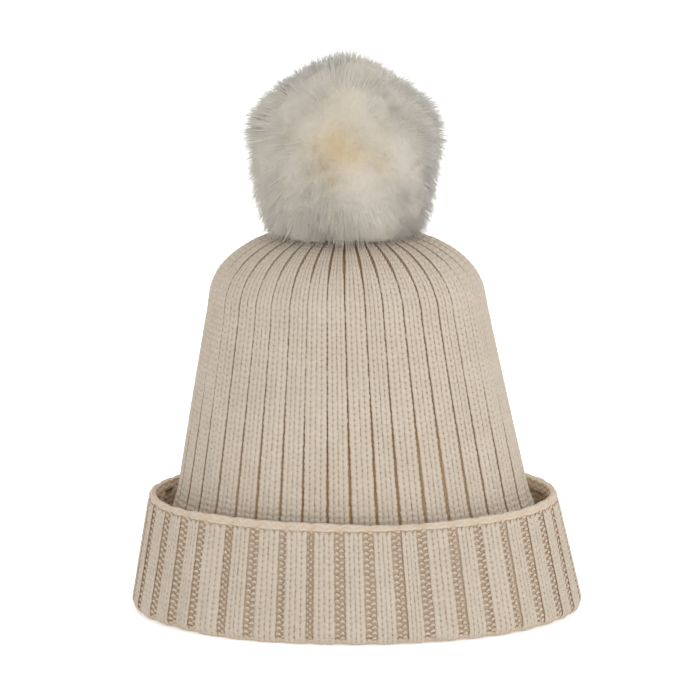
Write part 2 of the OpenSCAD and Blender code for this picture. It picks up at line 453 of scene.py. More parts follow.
@made_once
def satin_material():
    """Blank woven satin: fine diagonal floats, a faint selvedge and soft creases, with painted shade in the
    hollows of the creases and floats.
    """
    trim = bpy.context.scene.hat_trim

    def varying(n):
        place = n.object_place()
        across, up = n.uv()
        twill = (across * 90.0 + up * 130.0).wave()
        crease = n.noise(place, 90.0, 2.0)
        edge = (across - 0.5).absolute().smooth(0.455, 0.47)
        # Painted shade: the colour darkens in the hollows of the creases and between the floats.
        light = twill * 0.35 + crease * 0.65
        cloth = n.mix(light, rgba(trim.label_colour, 0.93), rgba(trim.label_colour))
        base = n.mix(edge * 0.25, cloth, rgba(trim.label_colour, 0.8))
        weave = n.bump(twill * 0.15 + crease, 0.0004, 0.5)
        return {"Base Color": base, "Roughness": 0.38 + twill * 0.18, "Normal": weave}

    fixed = {"Specular IOR Level": 0.45, "Sheen Weight": 0.3, "Anisotropic": 0.4}
    return principled("blank_satin", fixed, varying)


@made_once
def button_material():
    """Moulded horn-coloured plastic with faint streaks."""
    trim = bpy.context.scene.hat_trim

    def varying(n):
        place = n.object_place()
        stretched = n.add("ShaderNodeMapping", inputs={"Vector": place, "Scale": (1.0, 4.0, 1.0)})
        streak = n.noise(stretched, 220.0, 4.0, 0.6)
        speck = n.noise(place, 1500.0, 2.0)
        pale = streak.smooth(0.35, 0.65)
        base = n.mix(pale, rgba(trim.button_colour, 0.6), rgba(trim.button_colour))
        grain = n.bump(speck, 0.00004, 0.4)
        return {"Base Color": base, "Roughness": 0.32 + speck * 0.16, "Normal": grain}

    fixed = {"Specular IOR Level": 0.5, "Coat Weight": 0.15}
    return principled("horn_plastic", fixed, varying)


def cloth_like(name, base_colour, scale):
    """A fuzzy plain cloth or wadding for the pieces inside the pompom, with painted shade in the hollows
    between its tufts.
    """

    def varying(n):
        place = n.object_place()
        tuft = n.noise(place, scale, 4.0, 0.65)
        cell = n.add("ShaderNodeTexVoronoi", inputs={"Vector": place, "Scale": scale * 2.5})
        # Painted shade: the colour darkens where the bump is low.
        light = tuft * 0.6 + cell * 0.5
        base = n.mix(light, rgba(base_colour, 0.75), rgba(base_colour))
        return {"Base Color": base, "Normal": n.bump(light, 0.0006, 0.7)}

    return principled(name, {"Roughness": 0.95, "Sheen Weight": 0.3}, varying)


@made_once
def backing_material():
    return cloth_like("fur_backing_cloth", bpy.context.scene.hat_trim.backing_colour, 900.0)


@made_once
def wadding_material():
    return cloth_like("loose_wadding", bpy.context.scene.hat_trim.wadding_colour, 240.0)


@made_once
def floor_material():
    """Matt pale board with the faintest grain."""
    stage = bpy.context.scene.hat_stage

    def varying(n):
        grain = n.noise(n.object_place(), 300.0, 3.0)
        return {"Base Color": n.mix(grain, rgba(stage.floor_colour, 0.985), rgba(stage.floor_colour))}

    # The light table under the floor keeps it white.
    glow = {"Emission Color": (1.0, 1.0, 1.0, 1.0), "Emission Strength": 0.3}
    return principled("pale_floor", {"Roughness": 0.9, "Specular IOR Level": 0.1, **glow}, varying)


# ---------------------------------------------------------------------------------------
# Mesh helpers
# ---------------------------------------------------------------------------------------


def new_mesh(name, points, faces, uvs=None, edges=()):
    """A mesh object from arrays; uvs holds one (u, v) for each point."""
    mesh = bpy.data.meshes.new(name)
    mesh.from_pydata([tuple(p) for p in np.asarray(points, float)], list(edges), [tuple(f) for f in faces])
    mesh.update()
    if uvs is not None:
        layer = mesh.uv_layers.new(name="UVMap")
        corners = np.zeros(len(mesh.loops), np.int32)
        mesh.loops.foreach_get("vertex_index", corners)
        layer.data.foreach_set("uv", np.asarray(uvs, np.float32)[corners].ravel())
    mesh.polygons.foreach_set("use_smooth", np.ones(len(mesh.polygons), bool))
    made = bpy.data.objects.new(name, mesh)
    bpy.context.scene.collection.objects.link(made)
    return made


def close_uvs(piece, axis, period):
    """In the faces that close a piece's round, carries its UV map on instead of back to its start."""
    layer = piece.data.uv_layers["UVMap"].data
    uvs = np.zeros(len(layer) * 2, np.float32)
    layer.foreach_get("uv", uvs)
    uvs = uvs.reshape(-1, 2)
    starts = np.zeros(len(piece.data.polygons), np.int32)
    sizes = np.zeros(len(piece.data.polygons), np.int32)
    piece.data.polygons.foreach_get("loop_start", starts)
    piece.data.polygons.foreach_get("loop_total", sizes)
    furthest = np.repeat(np.maximum.reduceat(uvs[:, axis], starts), sizes)
    quads = np.repeat(sizes == 4, sizes)
    uvs[:, axis] += period * (quads & (furthest - uvs[:, axis] > period / 2))
    layer.foreach_set("uv", uvs.ravel())
    return piece


def keep_attribute(piece, name, kind, values):
    """Stores one value for each point of a mesh."""
    field = {"FLOAT": "value", "FLOAT_VECTOR": "vector"}[kind]
    stored = piece.data.attributes.new(name, kind, "POINT")
    stored.data.foreach_set(field, np.asarray(values, np.float32).ravel())


def finish(piece, material, body, slot, *nodes):
    """Gives a finished piece its material and body, and hides the CAD nodes that it stands for. The slot is
    not used.
    """
    if material is not None:
        piece.data.materials.clear()
        piece.data.materials.append(material)
    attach(piece, body)
    if nodes:
        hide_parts(*nodes)
    return piece


def twisted(name, parts, material, body, slot, node):
    """A finished piece of cord or thread from its points, faces and UVs."""
    return finish(outward(new_mesh(name, *parts)), material, body, slot, node)


def travelled(points):
    """The distance from the start of a line to each of its points."""
    return np.concatenate([[0], np.cumsum(np.linalg.norm(np.diff(points, axis=0), axis=1))])


def on_line(steps, reach, points):
    """The points of a line at distances along it."""
    return np.stack([np.interp(steps, reach, column) for column in points.T], 1)


def grid_faces(rows, columns, closed_rows=False):
    """Quads between rows of points that each run once around."""
    i, k = np.meshgrid(np.arange(rows if closed_rows else rows - 1), np.arange(columns), indexing="ij")
    j, l = (i + 1) % rows, (k + 1) % columns
    quads = np.stack([i * columns + k, i * columns + l, j * columns + l, j * columns + k], -1)
    return quads.reshape(-1, 4)


def unit(vectors):
    return vectors / np.maximum(np.linalg.norm(vectors, axis=-1, keepdims=True), 1e-12)


def beside(path, closed):
    """Two directions square to a path at each of its points."""
    ahead = np.roll(path, -1, 0) - np.roll(path, 1, 0)
    if not closed:
        ahead[0], ahead[-1] = path[1] - path[0], path[-1] - path[-2]
    ahead = unit(ahead)
    side = np.cross(ahead, (0.0, 0.0, 1.0))
    upright = np.linalg.norm(side, axis=1) < 0.2
    side[upright] = np.cross(ahead[upright], (1.0, 0.0, 0.0))
    side = unit(side)
    return side, np.cross(side, ahead)


def tube(path, radii, sides, closed=False, turns=0.0):
    """Points, faces and UVs of a round tube along a path; turns counts the plies' UV turns."""
    path = np.asarray(path, float)
    n = len(path)
    side, up = beside(path, closed)
    angle = np.arange(sides) / sides * FULL_TURN
    ring = np.cos(angle)[None, :, None] * side[:, None] + np.sin(angle)[None, :, None] * up[:, None]
    points = path[:, None] + ring * np.asarray(radii, float).reshape(-1, 1, 1)
    faces = [tuple(f) for f in grid_faces(n, sides, closed)]
    if not closed:
        faces.append(tuple(range(sides))[::-1])
        faces.append(tuple(range((n - 1) * sides, n * sides)))
    u, v = np.meshgrid(np.linspace(0, max(turns, 1.0), n), angle / FULL_TURN, indexing="ij")
    return points.reshape(-1, 3), faces, np.stack([u, v], -1).reshape(-1, 2)


def joined(parts):
    """One set of points, faces and UVs from several."""
    points, faces, uvs, start = [], [], [], 0
    for p, f, u in parts:
        points.append(p)
        uvs.append(u)
        faces += [tuple(int(i) + start for i in face) for face in f]
        start += len(p)
    return np.concatenate(points), faces, np.concatenate(uvs)


def plied(path, radius, plies, turns, sides=8, closed=False):
    """A cord of several plies that wind round a path."""
    path = np.asarray(path, float)
    n = len(path)
    side, up = beside(path, closed)
    travel = np.linspace(0, 1, n, endpoint=not closed)
    ply_radius = radius * 0.56
    parts = []
    for ply in range(plies):
        angle = (travel * turns + ply / plies) * FULL_TURN
        offset = np.cos(angle)[:, None] * side + np.sin(angle)[:, None] * up
        winding = path + offset * (radius - ply_radius)
        parts.append(tube(winding, np.full(n, ply_radius), sides, closed, turns * 3))
    return joined(parts)


# ---------------------------------------------------------------------------------------
# Geometry node trees
# ---------------------------------------------------------------------------------------


def geometry_tree(name, inputs):
    """A new geometry tree with named inputs; returns its Nodes, its input values and its output node."""
    tree = bpy.data.node_groups.new(name, "GeometryNodeTree")
    tree.interface.new_socket("Geometry", in_out="OUTPUT", socket_type="NodeSocketGeometry")
    tree.interface.new_socket("Geometry", in_out="INPUT", socket_type="NodeSocketGeometry")
    for label, kind in inputs.items():
        tree.interface.new_socket(label, in_out="INPUT", socket_type="NodeSocket" + kind)
    nodes = Nodes(tree)
    source = tree.nodes.new("NodeGroupInput")
    sink = tree.nodes.new("NodeGroupOutput")
    values = {s.name: Value(nodes, s) for s in source.outputs if s.name}
    return nodes, values, sink


def apply_tree(piece, tree, values):
    """Runs a geometry tree on a piece and leaves a plain mesh."""
    modifier = piece.modifiers.new("made", "NODES")
    modifier.node_group = tree
    for item in tree.interface.items_tree:
        if item.item_type == "SOCKET" and item.in_out == "INPUT" and item.name in values:
            modifier[item.identifier] = values[item.name]
    bpy.context.view_layer.update()
    graph = bpy.context.evaluated_depsgraph_get()
    made = bpy.data.meshes.new_from_object(
        piece.evaluated_get(graph), preserve_all_data_layers=True, depsgraph=graph
    )
    old = piece.data
    piece.modifiers.remove(modifier)
    piece.data = made
    made.name = piece.name
    bpy.data.meshes.remove(old)
    made.materials.clear()
    made.materials.append(values["Material"])
    made.polygons.foreach_set("material_index", np.zeros(len(made.polygons), np.int32))
    return piece


def named(n, name, kind="FLOAT_VECTOR"):
    return n.add("GeometryNodeInputNamedAttribute", {"data_type": kind}, {"Name": name})


def ended(n, geometry, given, sink):
    """Ends a tree with plain geometry in the material given."""
    real = n.add("GeometryNodeRealizeInstances", inputs={"Geometry": geometry})
    coloured = n.add("GeometryNodeSetMaterial", inputs={"Geometry": real, "Material": given["Material"]})
    n.tree.links.new(coloured.socket, sink.inputs[0])
    return n.tree


@made_once
def stitch_tree():
    """Sets one copy of a stitch at every guide point, turned and sized by the guide's attributes."""
    n, given, sink = geometry_tree(
        "Stitches", {"Stitch": "Object", "Unevenness": "Float", "Seed": "Int", "Material": "Material"}
    )
    stitch = n.add("GeometryNodeObjectInfo", inputs={"Object": given["Stitch"]}).out("Geometry")
    turn = n.add(
        "FunctionNodeAxesToRotation",
        {"primary_axis": "Z", "secondary_axis": "Y"},
        {0: named(n, "out"), 1: named(n, "up")},
    )
    wobble = n.add(
        "FunctionNodeRandomValue",
        {"data_type": "FLOAT_VECTOR"},
        {0: (-1.0, -1.0, -1.0), 1: (1.0, 1.0, 1.0), "Seed": given["Seed"]},
    )
    uneven = n.add(
        "ShaderNodeVectorMath", {"operation": "SCALE"}, {0: wobble, "Scale": given["Unevenness"]}
    )
    grown = n.vectors("ADD", uneven, (1.0, 1.0, 1.0))
    final_size = n.vectors("MULTIPLY", named(n, "size"), grown)
    placed = n.add(
        "GeometryNodeInstanceOnPoints",
        inputs={"Points": given["Geometry"], "Instance": stitch, "Rotation": turn, "Scale": final_size},
    )
    tone = n.add("FunctionNodeRandomValue", {"data_type": "FLOAT"}, {"Seed": given["Seed"] + 1.0}, output=1)
    toned = n.add(
        "GeometryNodeStoreNamedAttribute",
        {"data_type": "FLOAT", "domain": "INSTANCE"},
        {"Geometry": placed, "Name": "tone", "Value": tone},
    )
    return ended(n, toned, given, sink)


@made_once
def hair_tree():
    """Sweeps a thin profile along every guide line, as thick as the guide's own attribute says.
    Soft pile scatters light so much that it shades like the ball it makes up: the normals turn
    away from the ball's heart by the softness."""
    n, given, sink = geometry_tree(
        "Hairs",
        {"Radius": "Float", "Sides": "Int", "Heart": "Vector", "Softness": "Float", "Material": "Material"},
    )
    lines = n.add("GeometryNodeMeshToCurve", inputs={"Mesh": given["Geometry"]})
    taper = named(n, "taper", "FLOAT")
    section = n.add(
        "GeometryNodeCurvePrimitiveCircle", inputs={"Resolution": given["Sides"], "Radius": 1.0}
    )
    swept = n.add(
        "GeometryNodeCurveToMesh",
        inputs={"Curve": lines, "Profile Curve": section, "Scale": taper * given["Radius"]},
    )
    smooth = n.add("GeometryNodeSetShadeSmooth", inputs={"Geometry": swept})
    place = n.add("GeometryNodeInputPosition")
    away = n.vectors("NORMALIZE", n.vectors("SUBTRACT", place, given["Heart"]))
    own = n.add("GeometryNodeInputNormal")
    turned = {0: given["Softness"], 4: own, 5: away}
    soft = n.add("ShaderNodeMix", {"data_type": "VECTOR"}, turned, output=1)
    shaded = n.add(
        "GeometryNodeSetMeshNormal",
        {"mode": "FREE", "domain": "POINT"},
        {"Mesh": smooth, "Custom Normal": soft},
    )
    return ended(n, shaded, given, sink)


# ---------------------------------------------------------------------------------------
# The hat's surfaces
# ---------------------------------------------------------------------------------------


def vertices_of(node):
    mesh = frame["nodes"][node].data
    points = np.zeros(len(mesh.vertices) * 3, np.float32)
    mesh.vertices.foreach_get("co", points)
    return points.reshape(-1, 3).astype(float)


def outline(node, heights):
    """Middle x, half width and half depth of a CAD node's outline at each height."""
    mesh = frame["nodes"][node].data
    points = vertices_of(node)
    ends = np.zeros(len(mesh.edges) * 2, np.int32)
    mesh.edges.foreach_get("vertices", ends)
    a, b = points[ends[0::2]], points[ends[1::2]]
    found = []
    for z in heights:
        crossing = (a[:, 2] - z) * (b[:, 2] - z) < 0
        low, high = a[crossing], b[crossing]
        share_up = (z - low[:, 2]) / (high[:, 2] - low[:, 2])
        cut = low + share_up[:, None] * (high - low)
        x, y = cut[:, 0], cut[:, 1]
        found.append(((x.max() + x.min()) / 2, (x.max() - x.min()) / 2, (y.max() - y.min()) / 2))
    return np.array(found)


def climbed(rows):
    """The distance along the cloth from its first row to each row."""
    steps = np.hypot(np.diff(rows[:, 1:3].mean(1)), np.diff(rows[:, 3]))
    return np.concatenate([[0.0], np.cumsum(steps)])


def eased(rows, reach):
    """Rows at even steps along their length, with corners rounded over the reach."""
    at = climbed(rows)
    even = np.linspace(0, at[-1], max(8, int(at[-1] / (0.5 * MM))))
    rows = np.stack([np.interp(even, at, rows[:, c]) for c in range(4)], 1)
    half = max(1, int(reach / (even[1] - even[0])))
    first, last = rows[0], rows[-1]
    padded = np.concatenate([2 * first - rows[half:0:-1], rows, 2 * last - rows[-2 : -half - 2 : -1]])
    window = np.hanning(2 * half + 3)[1:-1]
    window /= window.sum()
    return np.stack([np.convolve(padded[:, c], window, "valid") for c in range(4)], 1)


class Cloth:
    """A tube of cloth: an oval outline at each distance along it, in rows of
    middle x, half width, half depth and height."""

    def __init__(self, rows):
        self.rows = rows
        self.reach = climbed(rows)
        self.length = self.reach[-1]
        self.slopes = np.gradient(rows, self.reach, axis=0)

    def at(self, along, table):
        return [np.interp(along, self.reach, table[:, c]) for c in range(4)]

    def place(self, around, along, lift):
        """Points lifted off the cloth, with its outward and upward directions there."""
        around, along, lift = np.broadcast_arrays(around, along, lift)
        middle, wide, deep, height = self.at(along, self.rows)
        middle_up, wide_up, deep_up, height_up = self.at(along, self.slopes)
        turn = around + OVAL_EVENING * np.sin(2 * around)
        cos, sin = np.cos(turn), np.sin(turn)
        point = np.stack([middle + wide * cos, deep * sin, height], -1)
        across = unit(np.stack([-wide * sin, deep * cos, np.zeros_like(cos)], -1))
        up = np.stack([middle_up + wide_up * cos, deep_up * sin, height_up], -1)
        out = unit(np.cross(across, up))
        up = unit(np.cross(out, across))
        return point + out * lift[..., None], out, up, across

    def girth(self, along):
        """The length once round the cloth."""
        around = np.linspace(0, FULL_TURN, 181)
        points = self.place(around, along, 0.0)[0]
        return float(np.linalg.norm(np.diff(points, axis=0), axis=1).sum())

    def height_at(self, height):
        """The distance along the cloth where it first rises to a height."""
        lowest, highest = np.argmin(self.rows[:, 3]), np.argmax(self.rows[:, 3])
        rising = slice(lowest, highest + 1)
        return float(np.interp(height, self.rows[rising, 3], self.reach[rising]))


def smooth_step(value):
    value = np.clip(value, 0, 1)
    return value * value * (3 - 2 * value)


RIM_LOW, RIM_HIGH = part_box("turned_cuff")
CROWN_LOW, CROWN_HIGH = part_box("crown_tube")
RIM_WIDTH, RIM_DEPTH = RIM_HIGH.x - RIM_LOW.x, RIM_HIGH.y - RIM_LOW.y
# Spaces the ribs evenly along the oval, as the frame's own ribs are.
OVAL_EVENING = (RIM_WIDTH - RIM_DEPTH) / (RIM_WIDTH + RIM_DEPTH) / 2
BACK = math.pi / 2
# How far the fabric strays from its outline.
SAG = 0.35 * MM
# Points of the ground fabric on the way across each rib.
RIB_POINTS = 10


def crown_cloth():
    """The crown from the fold to the gathered hole."""
    rise = np.sin(np.linspace(0.02, 0.995, 220) * math.pi / 2)
    heights = CROWN_LOW.z + (CROWN_HIGH.z - CROWN_LOW.z) * rise
    rows = np.column_stack([outline("crown_tube", heights), heights])
    return Cloth(eased(rows, 7 * MM))


def cuff_cloth(fold_round):
    """The cuff's outer side, from under the fold, over its rounded top edge and down inside."""
    bend = np.linspace(-0.4, math.pi / 2, 28)
    foot = outline("turned_cuff", [fold_round])[0]
    rise = fold_round * (1 - np.cos(bend))
    inset = fold_round * (1 - np.sin(bend))
    under = np.column_stack([foot[0] + 0 * bend, foot[1] - inset, foot[2] - inset, RIM_LOW.z + rise])
    lip_round = 1.7 * MM
    heights = np.linspace(fold_round * 1.05, RIM_HIGH.z - lip_round, 60)
    wall = np.column_stack([outline("turned_cuff", heights), heights])
    rows = eased(np.concatenate([under, wall]), 2.5 * MM)
    head = rows[-1]
    over = np.linspace(0.1, math.pi, 18)
    inset = lip_round * (1 - np.cos(over))
    lip = np.column_stack(
        [np.full(len(over), head[0]), head[1] - inset, head[2] - inset, head[3] + lip_round * np.sin(over)]
    )
    down = lip[-1] - np.linspace(0.6, 4.2, 7)[:, None] * MM * np.array([0.0, 0.0, 0.0, 1.0])
    return Cloth(np.concatenate([rows, lip, down]))


class Ribs:
    """How one tube's ribs lie round it: each rib's own start, width and knit share.
    The ribs spread apart by the opening towards the start of the stretch, and by the gather
    towards the end of the gathered part. The grooves of a cloth with two edges fade out
    towards both."""

    # How unevenly the ribs are spaced, as a share of their pitch.
    SHIFT = 0.05
    SHARES = (0.45, 0.985)
    # How gently a rib drops into its groove, and how much it rounds off before.
    SLOPE = 0.07
    ROUNDING = 0.22
    # How deep the grooves still are at an edge.
    EDGE_DEPTH = 0.35

    def __init__(self, settings, first_groove, knit_share, spread, seed):
        rng = np.random.default_rng(seed)
        n = settings.ribs
        pitch = FULL_TURN / n
        shift = rng.normal(0, self.SHIFT, n) * pitch
        starts = first_groove + pitch * np.arange(n) + shift
        self.count = n
        self.edges = np.concatenate([starts, [starts[0] + FULL_TURN]])
        self.shares = np.clip(knit_share + rng.normal(0, spread, n), *self.SHARES)
        self.depth = settings.rib_depth
        self.opening = 0.0
        self.stretch = (0.0, 1.0)
        self.gather = 0.0
        self.gathered = (0.0, 1.0)
        self.between = None
        self.edge = settings.edge

    def angle(self, rib):
        """The angle round the hat of a rib number, which may lie between two ribs."""
        turns = np.floor(np.asarray(rib) / self.count)
        inside = np.asarray(rib) - turns * self.count
        return np.interp(inside, np.arange(self.count + 1), self.edges) + turns * FULL_TURN

    def share(self, number, along):
        """The knit share of a whole rib number at a distance along the cloth."""
        start, end = self.stretch
        spread = 1 - smooth_step((np.asarray(along) - start) / (end - start))
        start, end = self.gathered
        drawn = smooth_step((np.asarray(along) - start) / (end - start))
        return self.shares[number] - self.opening * spread - self.gather * drawn

    def shown(self, along):
        """1 where the grooves are fully sunk, and 0 at an edge where they have faded out."""
        along = np.asarray(along, float)
        if self.between is None:
            return np.ones_like(along)
        low, high = self.between
        level = smooth_step((along - low) / self.edge) * smooth_step((high - along) / self.edge)
        return self.EDGE_DEPTH + (1 - self.EDGE_DEPTH) * level

    def profile(self, rib, along):
        """How high the fabric stands at a rib number: 1 on a rib, 0 in a groove."""
        inside = np.asarray(rib) % self.count
        number = np.minimum(np.floor(inside).astype(int), self.count - 1)
        off = np.abs(2 * (inside - number) - 1)
        knit = self.share(number, along)
        step = smooth_step((knit + self.SLOPE - off) / (2 * self.SLOPE))
        height = step * (1 - self.ROUNDING * np.clip(off / knit, 0, 1) ** 2)
        return 1 - (1 - height) * self.shown(along)

    def sink(self, rib, along):
        return -self.depth * (1 - self.profile(rib, along))


def sag(around, along):
    """Gentle hand-made unevenness of the fabric: how far it stands in or out of its outline."""
    wave = np.sin(3 * around + 1.3 + 9 * along) + 0.7 * np.sin(5 * around + 0.4 - 22 * along)
    return SAG * (wave + 0.5 * np.sin(9 * around + 2.1 + 31 * along))


# ---------------------------------------------------------------------------------------
# Stitches
# ---------------------------------------------------------------------------------------


def lobe(path, half_width, half_depth, sides=5):
    """A yarn lobe along a path, with narrow ends, as points, faces and UVs."""
    rings, uvs = [], []
    n = len(path)
    for i, (centre, w, d) in enumerate(zip(path, half_width, half_depth)):
        for k in range(sides):
            # The UV seam runs along the side that is turned into the fabric.
            cos, sin = math.sin(k / sides * FULL_TURN), -math.cos(k / sides * FULL_TURN)
            rings.append((centre[0] + w[0] * cos, centre[1] + w[1] * cos, centre[2] + d * sin))
            uvs.append((i / (n - 1), k / sides))
    faces = [tuple(int(v) for v in f) for f in grid_faces(n, sides)]
    faces.append(tuple(range(sides))[::-1])
    faces.append(tuple(range((n - 1) * sides, n * sides)))
    return np.array(rings), faces, np.array(uvs)


def knit_stitch():
    """The V of one knit stitch: x across its column, y up it, z out of the fabric."""
    t = np.linspace(0, 1, 5)
    swell = np.sin(np.pi * (0.2 + 0.64 * t))
    legs = []
    for side in (-1, 1):
        x = side * (0.13 + 0.21 * t)
        y = -0.80 + 1.54 * t
        z = -0.30 + 0.55 * np.sin(np.pi * (0.1 + 0.75 * t))
        path = np.stack([x, y, z], 1)
        width = [(side * 0.285 * s, -0.10 * s) for s in swell]
        points, faces, uvs = lobe(path, width, 0.46 * swell)
        if side < 0:
            faces = [f[::-1] for f in faces]
        legs.append((points, faces, uvs))
    points, faces, uvs = joined(legs)
    return template("knit_stitch", points, faces, uvs)


def purl_stitch():
    """The bar of one purl stitch, a low arch across its column."""
    t = np.linspace(0, 1, 6)
    x = -0.56 + 1.12 * t
    y = 0.34 * np.sin(np.pi * t) - 0.12
    z = -0.30 + 0.62 * np.sin(np.pi * t)
    swell = 0.55 + 0.45 * np.sin(np.pi * t)
    path = np.stack([x, y, z], 1)
    points, faces, uvs = lobe(path, [(0.02, 0.29 * s) for s in swell], 0.40 * swell)
    return template("purl_stitch", points, faces, uvs)


def template(name, points, faces, uvs):
    """A stitch to copy, kept out of the scene's finished pieces."""
    made = outward(new_mesh(name, points, faces, uvs))
    height = points[:, 2]
    # Raised is the height within the stitch; the yarn material paints shade on its low parts by it.
    keep_attribute(made, "raised", "FLOAT", (height - height.min()) / (height.max() - height.min()))
    return made


# How much the stitches of a piece differ in size.
UNEVENNESS = 0.06
# How far a knit column sinks into the fabric, and turns out from the middle of its rib.
KNIT_SINK = 0.42 * MM
KNIT_TILT = 0.06
# Neighbouring columns press on each other.
PRESSED = 1.06


def stitched(name, guides, stitch, material, seed):
    """A piece made of one stitch copied to every guide."""
    points, outs, ups, scales = (np.asarray(g).reshape(-1, 3) for g in guides)
    piece = new_mesh(name, points, [])
    keep_attribute(piece, "out", "FLOAT_VECTOR", outs)
    keep_attribute(piece, "up", "FLOAT_VECTOR", ups)
    keep_attribute(piece, "size", "FLOAT_VECTOR", scales)
    values = {"Stitch": stitch, "Unevenness": UNEVENNESS, "Seed": seed, "Material": material}
    return apply_tree(piece, stitch_tree(), values)


def knitted(prefix, parts, guides, stitch, seed, slot, node):
    """A finished piece of stitches for each named part of the guides."""
    pieces = []
    for name, keep in parts:
        piece = stitched(prefix + name, [g[keep] for g in guides], stitch, yarn_material(), seed)
        pieces.append(finish(piece, None, "hat", slot, node))
    bpy.data.objects.remove(stitch)
    return pieces


def column_guides(cloth, ribs, rows, sink, row_height, yarn_depth, purl=False, tilt=0.0):
    """Guides for the two columns of stitches on each rib, or of purl stitches in each groove.
    Tilt turns a column outwards from the middle of its rib."""
    number = np.arange(ribs.count)
    found = []
    for side in (-1, 1):
        start = rows + (row_height / 2 if purl and side > 0 else 0.0)
        rib, along = np.meshgrid(number, start, indexing="ij")
        knit = ribs.share(rib, along)
        width = (1 - knit if purl else knit) / 2
        middle = rib + (1.0 if purl else 0.5) + side * width / 2
        around = ribs.angle(middle)
        lift = ribs.sink(middle, along) + sag(around, along) - sink
        point, out, up, across = cloth.place(around, along, lift)
        near = cloth.place(ribs.angle(middle + 0.01), along, lift)[0]
        pitch = np.linalg.norm(near - point, axis=-1) / 0.01
        out = unit(out + across * (tilt * side))
        size = np.stack(
            [pitch * width * PRESSED, np.full_like(pitch, row_height), np.full_like(pitch, yarn_depth)], -1
        )
        found.append((point, out, up, size))
    return [np.concatenate([f[i].reshape(-1, 3) for f in found]) for i in range(4)]


def quarters(points, middle):
    """The four quarters of a ring of points, each with a name."""
    for front in (True, False):
        for left in (True, False):
            name = ("front" if front else "back") + ("_left" if left else "_right")
            yield name, ((points[:, 1] < 0) == front) & ((points[:, 0] < middle) == left)


def halves(points):
    """The front and the back half of a ring of points, each with its name."""
    front = points[:, 1] < 0
    return ("front", front), ("back", ~front)


# ---------------------------------------------------------------------------------------
# Ground fabric
# ---------------------------------------------------------------------------------------


def ground_ring(cloth, ribs, along, lift, shown=1.0):
    """One ring of the ground fabric: its points, UVs and how deep each lies in a groove."""
    rib = np.arange(ribs.count * RIB_POINTS) / RIB_POINTS
    around = ribs.angle(rib)
    depth = (1 - ribs.profile(rib, along)) * shown
    point = cloth.place(around, along, lift - ribs.depth * depth + sag(around, along))[0]
    row = bpy.context.scene.hat_knit.row
    return point, np.stack([rib, np.full_like(rib, along / row)], 1), depth


def ground_piece(name, rings, shade):
    """A closed tube of ground fabric through rings that run once round its own section.
    Shade is how much painted shade darkens its deepest grooves."""
    points = np.concatenate([r[0] for r in rings])
    # The soft rim flattens where it rests.
    points[:, 2] = np.maximum(points[:, 2], RIM_LOW.z)
    uvs = np.concatenate([r[1] for r in rings])
    grooves = np.concatenate([r[2] for r in rings])
    piece = new_mesh(name, points, grid_faces(len(rings), len(rings[0][0]), True), uvs)
    # The groove attribute carries painted shade, deepest in the deepest grooves.
    keep_attribute(piece, "groove", "FLOAT", grooves * shade)
    return outward(close_uvs(piece, 0, uvs[:, 0].max() + uvs[1, 0]))


# ---------------------------------------------------------------------------------------
# Operators
# ---------------------------------------------------------------------------------------


class HatOperator(bpy.types.Operator):
    """Shared by the operators that make the hat's pieces."""

    bl_options = {"REGISTER", "UNDO"}

    def execute(self, context):
        self.make(context.scene)
        return {"FINISHED"}


class HAT_OT_crown(HatOperator):
    """Knit the crown: its ground fabric and the stitches over it"""

    bl_idname = "hat.crown"
    bl_label = "Crown"

    # How much the ribs' knit shares differ.
    SPREAD = 0.025
    # Heights above the rim between which the stretched ribs close up.
    STRETCHED = (70 * MM, 125 * MM)
    # Distances before the hole between which the ribs draw apart.
    GATHERED = (62 * MM, 42 * MM)
    # The stitches begin hidden behind the cuff and end short of the hole.
    FIRST_ROW, LAST_ROW = 30 * MM, 6 * MM
    # The fabric itself ends close to the hole, and its grooves fade out on the way there.
    FABRIC_END, FADE = 1 * MM, 14 * MM
    LEVELS = 64
    OUTER, INNER = -0.75 * MM, -2.9 * MM
    # How deep the grooves are on the wrong side, as a share of those on the right side.
    INNER_DEPTH = 0.6

    def make(self, scene):
        knit = scene.hat_knit
        cloth = crown_cloth()
        ribs = Ribs(knit, BACK, knit.crown_share, self.SPREAD, knit.seed)
        ribs.gather = knit.crown_gather
        ribs.gathered = tuple(cloth.length - before for before in self.GATHERED)
        ribs.opening = knit.crown_opening
        ribs.stretch = tuple(cloth.height_at(height) for height in self.STRETCHED)
        fabric = self.ground(cloth, ribs)
        stitches = self.stitches(knit, cloth, ribs)
        flat = (cloth.girth(ribs.stretch[0]), cloth.length)

    def ground(self, cloth, ribs):
        levels = np.linspace(0, cloth.length - self.FABRIC_END, self.LEVELS)
        fade = np.clip((cloth.length - levels) / self.FADE, 0.1, 1)
        outer = [ground_ring(cloth, ribs, *ring) for ring in zip(levels, repeat(self.OUTER), fade)]
        fade = fade * self.INNER_DEPTH
        inner = [ground_ring(cloth, ribs, *ring) for ring in zip(levels, repeat(self.INNER), fade)]
        # Its deepest grooves take the full painted shade.
        piece = ground_piece("crown_fabric", outer + inner[::-1], 1.0)
        return finish(piece, ground_material(), "hat", "crown_knit", "crown_tube")

    def stitches(self, knit, cloth, ribs):
        rows = np.arange(cloth.height_at(self.FIRST_ROW), cloth.length - self.LAST_ROW, knit.row)
        guides = column_guides(cloth, ribs, rows, KNIT_SINK, knit.row, knit.yarn_depth, tilt=KNIT_TILT)
        parts = quarters(guides[0], cloth.rows[0, 0])
        stitch = knit_stitch()
        return knitted("crown_stitches_", parts, guides, stitch, knit.seed, "crown_knit", "crown_tube")


def outward(piece):
    """Turns every face of a closed piece outwards."""
    edit = bmesh.new()
    edit.from_mesh(piece.data)
    bmesh.ops.recalc_face_normals(edit, faces=edit.faces)
    edit.to_mesh(piece.data)
    edit.free()
    return piece


